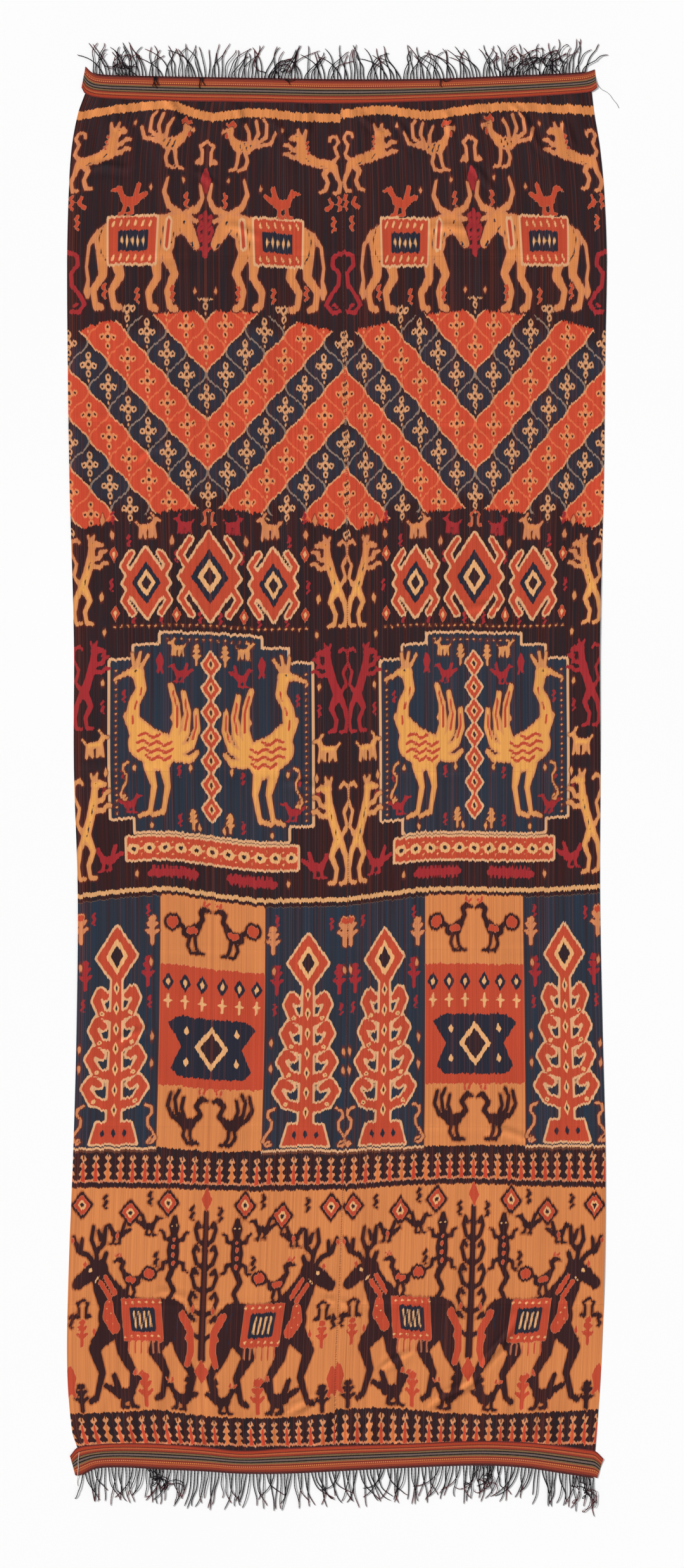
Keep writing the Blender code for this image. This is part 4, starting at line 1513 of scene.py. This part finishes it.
band_finish, start, shader = finish("striped_band", 0.85)
along, across, seed = start.stored("band")
wobble = start.noise(along / 3.0, across * 12.0 + seed)
level = across + (wobble - 0.5) * 0.022
stops = [(where, colour(*shade)) for where, shade in BAND_STRIPES]
stripes = start.node("ShaderNodeValToRGB", {"stops": stops}, {0: level})
dot = along / DOT_STEP
dot_x = abs(dot - dot.nearest_whole()) * DOT_STEP
dots = ((dot_x - 1.3).inside(0.6)) * ((abs(across - DOT_ROW) - 0.022).inside(0.02))
band_colour = stripes.over(colour(224, 140, 82), dots)
bead = (along * (2 * math.pi / BEAD_STEP) + across * 9.0).cosine()
fleck = start.noise(along / 1.6, across * 26.0)
# Painted shade of the weave: the beads' crests are painted a little lighter and the hollows between them a
# little darker; the fleck is the yarn's own uneven colour.
feed(band_colour.scaled(0.86 + 0.07 * bead + 0.24 * (fleck - 0.2)), shader, "Base Color")
cord_rows = (across * (2 * math.pi * CORD_ROWS)).cosine()
emboss(bead * 0.6 + cord_rows, shader, 0.5, 0.5 * MM)


def end_band(name, node, band, seed):
    """A band over its inner and outer edges, thick in the middle and thinner at its edges."""
    low_x, high_x = sorted(band)[0][0], sorted(band)[-1][0]
    keys = np.linspace(low_x, high_x, BAND_COLUMNS + 1)
    inner = np.array([[x, smooth(band, x, 1)] for x in keys])
    outer = np.array([[smooth(band, x, 2), smooth(band, x, 3)] for x in keys])
    share = np.linspace(0, 1, BAND_STEPS + 1)
    flat = inner[:, None] + (outer - inner)[:, None] * share[:, None]
    x, y = flat[..., 0], flat[..., 1]
    crown = (BAND_THICKNESS - 0.5 * MM * np.abs(2 * share - 1) ** 3) * np.ones(x.shape)
    crown += 0.25 * MM * np.sin(x / 13 + seed) * np.sin(share * math.pi) + 0.2 * MM * np.sin(x / 41 + seed)
    flare = np.clip(1 - np.minimum(x - low_x, high_x - x) / FLARE_LENGTH, 0, 1)
    crown += FLARE_RISE * flare**2 * np.sin(share * math.pi * 1.5 + seed)
    turned = 1 if outer[0, 1] > inner[0, 1] else -1
    count = x.size
    top = np.stack([x * MM + SHIFT_X, y * MM + SHIFT_Y, np.maximum(crown, THINNEST)], -1).reshape(-1, 3)
    under = top * (1, 1, 0)
    grid = np.arange(count).reshape(x.shape)
    quads = grid_faces(grid, TURNED_OVER)[:, ::turned]
    rim = np.concatenate([grid[:, 0], grid[-1, 1:], grid[-2::-1, -1], grid[0, -2:0:-1]])[::turned]
    walls = np.stack([np.roll(rim, -1), rim, rim + count, np.roll(rim, -1) + count], -1)
    faces = np.concatenate([quads, quads[:, ::-1] + count, walls]).tolist()
    obj = mesh_object(name, np.concatenate([top, under]).tolist(), faces, band_finish)
    values = np.stack([x, np.broadcast_to(share, x.shape), np.full(x.shape, seed)], -1).reshape(-1, 3)
    add_vectors(obj, "band", np.concatenate([values, values]))
    smooth_faces(obj)
    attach(obj, "root")
    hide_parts(node)


end_band("top_striped_band", "top_band", TOP_BAND, 1.0)
end_band("bottom_striped_band", "bottom_band", BOTTOM_BAND, 2.4)


# The fringes. The warp ends past each band, plied by twos into thin near-black cords whose tips have faded
# to a dull red. They leave the band side by side, then lean into bunches and cross.
STRANDS = 150  # at each end
STRAND_STEPS = 60
STRAND_WIDTH = 2.7 * MM
STRAND_FLAT = 0.66  # its thickness, as a share of its width
STRIP_OFFSET = 1.5  # millimetres from the band's edge to the middle of the last woven row
STRIP_RADIUS = 1.1 * MM
CLOTH_HALF = 560  # half the cloth's width and a little more
TWIST_PITCH = 6.8 * MM  # along a cord, for one turn of its two plies
LEAN_WAVES = ((17, 610, 1.0), (5.5, 118, 2.1), (1.0, 47, 3.7))  # size and wavelength in mm, turn
FADED_FROM = 0.62  # the share of a strand's length where the first ones turn red
# X of the first and last root, the longest strand, the seed, and how far the strands lean.
TOP_FRINGE = (-502, 512, 72, 3, 1.0)
BOTTOM_FRINGE = (-524, 528, 80, 8, 0.72)

yarn_finish, start, shader = finish("fringe_yarn", 0.8)
share, chance, turn = start.stored("strand")
faded = (FADED_FROM + 0.5 * chance - share).inside(0.35)
yarn = colour_mix(colour(40, 32, 35), colour(22, 20, 26), chance)
yarn = yarn.over(colour(104, 46, 50), faded * 0.8)
yarn = yarn.over(colour(92, 40, 40), (share - 0.02).inside(0.03) * 0.7)
feed(yarn, shader, "Base Color")
emboss(turn.sine(), shader, 0.6, 0.3 * MM)


INPUTS = ("Strands", "Length", "Way", "Seed", "Lean", "Lift", "Row", "Curl")
start, sockets = geometry_tree("twisted_strands", INPUTS)
line, strands, length, way, seed, lean_size, lift, row, curl = sockets
curve = start.node("GeometryNodeMeshToCurve", inputs={0: line})
roots = start.node("GeometryNodeResampleCurve", inputs={"Curve": curve, "Count": strands})
line_ends = {"Start": (0, 0, 0), "End": start.vector(0.0, length * way)}
straight = start.node("GeometryNodeCurvePrimitiveLine", inputs=line_ends)
straight = start.node("GeometryNodeResampleCurve", inputs={"Curve": straight, "Count": STRAND_STEPS})
root_number = start.node("GeometryNodeInputIndex")
uneven = start.speckle(root_number + seed * 71.0)
stretch = start.vector(1.0, 0.70 + 0.34 * uneven.power(0.7), 1.0)
strand_inputs = {"Points": roots, "Instance": straight, "Scale": stretch}
placed = start.node("GeometryNodeInstanceOnPoints", inputs=strand_inputs)
placed = start.node("GeometryNodeRealizeInstances", inputs={0: placed})

index = start.node("GeometryNodeInputIndex")
number = ((index + 0.5) / STRAND_STEPS).whole()
share = (index - number * STRAND_STEPS) / (STRAND_STEPS - 1)
at_x = (start.node("GeometryNodeInputPosition").parts()[0] - SHIFT_X) / MM
lean = 0.0
for size, wavelength, seed_turn in LEAN_WAVES:
    lean = size * (at_x * (2 * math.pi / wavelength) + seed * seed_turn).sine() + lean
chance = start.speckle(number + seed * 100.0)
second_chance = start.speckle(number + seed * 211.0 + 0.5)
third_chance = start.speckle(number + seed * 307.0 + 0.25)
BUNCH = 41.0  # millimetres from one bunch of strands to the next
FRINGE_HALF = 535.0  # strands that lean further out than this from the middle turn back
STEADY_SHARE = 0.24  # of the strands; the others stray from their bunch
STRAY_WIDTH = 96.0  # the widest spread of the stray tips, from side to side
DRAWN_UP = 0.34  # how much less far a strand's tip reaches for each millimetre that it leaves its place
WAVE_SIZE = 4.4  # of a strand's curl sideways
KNOT_SIZE = 6.0  # and of a tangled one's curl lengthwise
LAYER_STEP = 0.5 * MM  # four layers of strands lie over one another
ROOT_RISE = 0.4 * MM  # of the roots over the tips
bunch = at_x / BUNCH + 1.5 * start.noise(at_x / 70.0, seed)
pull = (bunch.whole() + 0.5 - bunch) * BUNCH
bunch_chance = start.speckle(bunch.whole() + seed * 53.0)
drawn = pull * share.power(1.4) * (0.35 + 0.9 * chance) * (0.35 + 1.5 * bunch_chance)
strays = (STEADY_SHARE - second_chance).inside(0.01)
loose = strays * (third_chance - 0.5) * STRAY_WIDTH * share.power(1.8)
wave_turn = share * (3.0 + 6.0 * third_chance) * curl.power(0.6) + chance * 6.0
wave = wave_turn.sine() * share * WAVE_SIZE * curl
swing = lean_size * (lean * share.power(1.6) + drawn + loose + wave)
past_end = (abs(at_x + swing) - FRINGE_HALF).most(0.0)
swing = swing - at_x / abs(at_x) * past_end * 0.6
shorter = way * abs(drawn + loose) * share * -DRAWN_UP
knotted = (wave_turn + 1.2).sine() * share * (curl - 1) * KNOT_SIZE
layer = (second_chance * 4.0).whole()
arch = (share * math.pi).sine()
height = lift + arch * layer * LAYER_STEP + (1 - share) * ROOT_RISE
offset = start.vector(swing * MM, (shorter + knotted) * MM, height)
placed = start.node("GeometryNodeSetPosition", inputs={"Geometry": placed, "Offset": offset})
turns = share * length * (2 * math.pi / TWIST_PITCH)
placed = start.node("GeometryNodeSetCurveTilt", inputs={"Curve": placed, "Tilt": turns})
settings = {"data_type": "FLOAT_VECTOR", "domain": "POINT"}
marks = {"Geometry": placed, "Name": "strand", "Value": start.vector(share, chance, turns * 2.0)}
placed = start.node("GeometryNodeStoreNamedAttribute", settings, marks)
taper = 1.0 - 0.28 * share - 0.3 * (0.97 - share).inside(0.05)
cords = tube(placed, 6, STRAND_WIDTH / 2, STRAND_FLAT, taper)
row_lift = start.vector(0.0, 0.0, row)
row_curve = start.node("GeometryNodeSetPosition", inputs={"Geometry": curve, "Offset": row_lift})
both = start.node("GeometryNodeJoinGeometry", inputs={0: [cords, tube(row_curve, 8, row)]})
strand_tree = close_tree(both, yarn_finish)


def root_line(band, first, last, way, steps):
    """Points along the last woven row, just past a band's outer edge."""
    stations = np.linspace(-CLOTH_HALF, CLOTH_HALF, 700)
    edge = np.array([[smooth(band, x, 2), smooth(band, x, 3)] for x in stations])
    xs = np.linspace(first, last, steps)
    ys = np.interp(xs, edge[:, 0], edge[:, 1]) + way * STRIP_OFFSET
    return [place(x, y) for x, y in zip(xs, ys)]


def grow_strands(name, roots, *values):
    """Strands rooted along part of a band's edge; the values are the tree's inputs, in their order."""
    obj = grow(name, root_line(*roots), strand_tree, dict(zip(INPUTS, values)))
    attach(obj, "root")
    return obj


for name, node, band, (first, last, longest, seed, lean), way in (
    ("top_yarn_fringe", "top_fringe", TOP_BAND, TOP_FRINGE, 1),
    ("bottom_yarn_fringe", "bottom_fringe", BOTTOM_BAND, BOTTOM_FRINGE, -1),
):
    roots = (band, first - 2, last + 2, way, 160)
    lift = STRAND_WIDTH / 2
    fringe = grow_strands(name, roots, STRANDS, longest * MM, way, seed, lean, lift, STRIP_RADIUS, 1.0)
    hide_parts(node)

# Fallen strands. A few of the fringe's cords at the top have dropped back over the band, and lie on it, held
# only by their roots.
FALLEN = ((-378, 3, 33), (-283, 2, 30), (-108, 2, 16), (214, 2, 18))  # x, how many, how far they reach
FALLEN_LIFT = BAND_THICKNESS + 1.1 * MM
FALLEN_LEAN = 0.35
ROOT_RADIUS = 0.3 * MM  # of the thread that a few strands hang from
for i, (x, count, reach) in enumerate(FALLEN):
    roots = (TOP_BAND, x, x + 5, 1, 4)
    name = "fallen_strands_%d" % i
    grow_strands(name, roots, count, reach * MM, -1, 20 + i, FALLEN_LEAN, FALLEN_LIFT, ROOT_RADIUS, 1.0)

# Tangles. Where the cords were handled most they have knotted into loose loops, which lie over the others
# at seven places along the two fringes.
# The band, which way it hangs, X of the first and last root, how many strands, and their length.
TANGLES = (
    (TOP_BAND, 1, -452, -414, 7, 52),
    (TOP_BAND, 1, -150, -120, 4, 44),
    (TOP_BAND, 1, 338, 392, 9, 56),
    (TOP_BAND, 1, 420, 470, 7, 58),
    (BOTTOM_BAND, -1, -392, -362, 6, 58),
    (BOTTOM_BAND, -1, 286, 322, 6, 60),
    (BOTTOM_BAND, -1, 488, 520, 5, 74),
)
TANGLE_LIFT = 2.4 * MM
TANGLE_LEAN = 0.95
TANGLE_CURL = 3.0
for i, (band, way, first, last, count, reach) in enumerate(TANGLES):
    roots = (band, first, last, way, 8)
    name = "tangle_%d" % i
    shape = (TANGLE_LEAN, TANGLE_LIFT, ROOT_RADIUS, TANGLE_CURL)
    grow_strands(name, roots, count, reach * MM, way, 40 + i, *shape)


# Loose ends. A white cotton thread holds the turned end of the lower band, and a grey one has pulled out of
# the upper band's right-hand end.
white_finish = flecked_thread("white_thread", colour(224, 214, 202), colour(196, 184, 172), 1, 400.0)
grey_finish = flecked_thread("grey_thread", colour(120, 116, 118), colour(88, 86, 92), 0, 400.0)


def loose_thread(name, points, width, material):
    """A thread through points given as x, y and z in millimetres."""
    data = bpy.data.curves.new(name, "CURVE")
    data.dimensions = "3D"
    data.bevel_depth = width * MM / 2
    data.bevel_resolution = 1
    data.resolution_u = 6
    data.use_fill_caps = True
    spline = data.splines.new("NURBS")
    spline.points.add(len(points) - 1)
    for point, (x, y, z) in zip(spline.points, points):
        point.co = (*place(x, y, z * MM), 1.0)
    spline.use_endpoint_u = True
    spline.order_u = 4
    obj = plain_piece(new_object(name, data), name)
    obj.data.materials.clear()
    obj.data.materials.append(material)
    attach(obj, "root")


WHITE_ENDS = (
    (-533, -1398, 1.6),
    (-533, -1404, 3.1),
    (-536, -1416, 3.0),
    (-534, -1428, 3.0),
    (-536, -1440, 3.0),
    (-535, -1449, 2.6),
    (-538, -1458, 0.9),
    (-536, -1468, 0.7),
)
GREY_END = (
    (532, 1444, 3.0),
    (538, 1432, 2.2),
    (546, 1421, 0.8),
    (556, 1418, 0.6),
    (566, 1410, 0.6),
    (572, 1398, 0.6),
    (580, 1392, 0.6),
    (583, 1383, 0.6),
)
loose_thread("white_tack", WHITE_ENDS, 1.3, white_finish)
loose_thread("pulled_thread", GREY_END, 0.8, grey_finish)
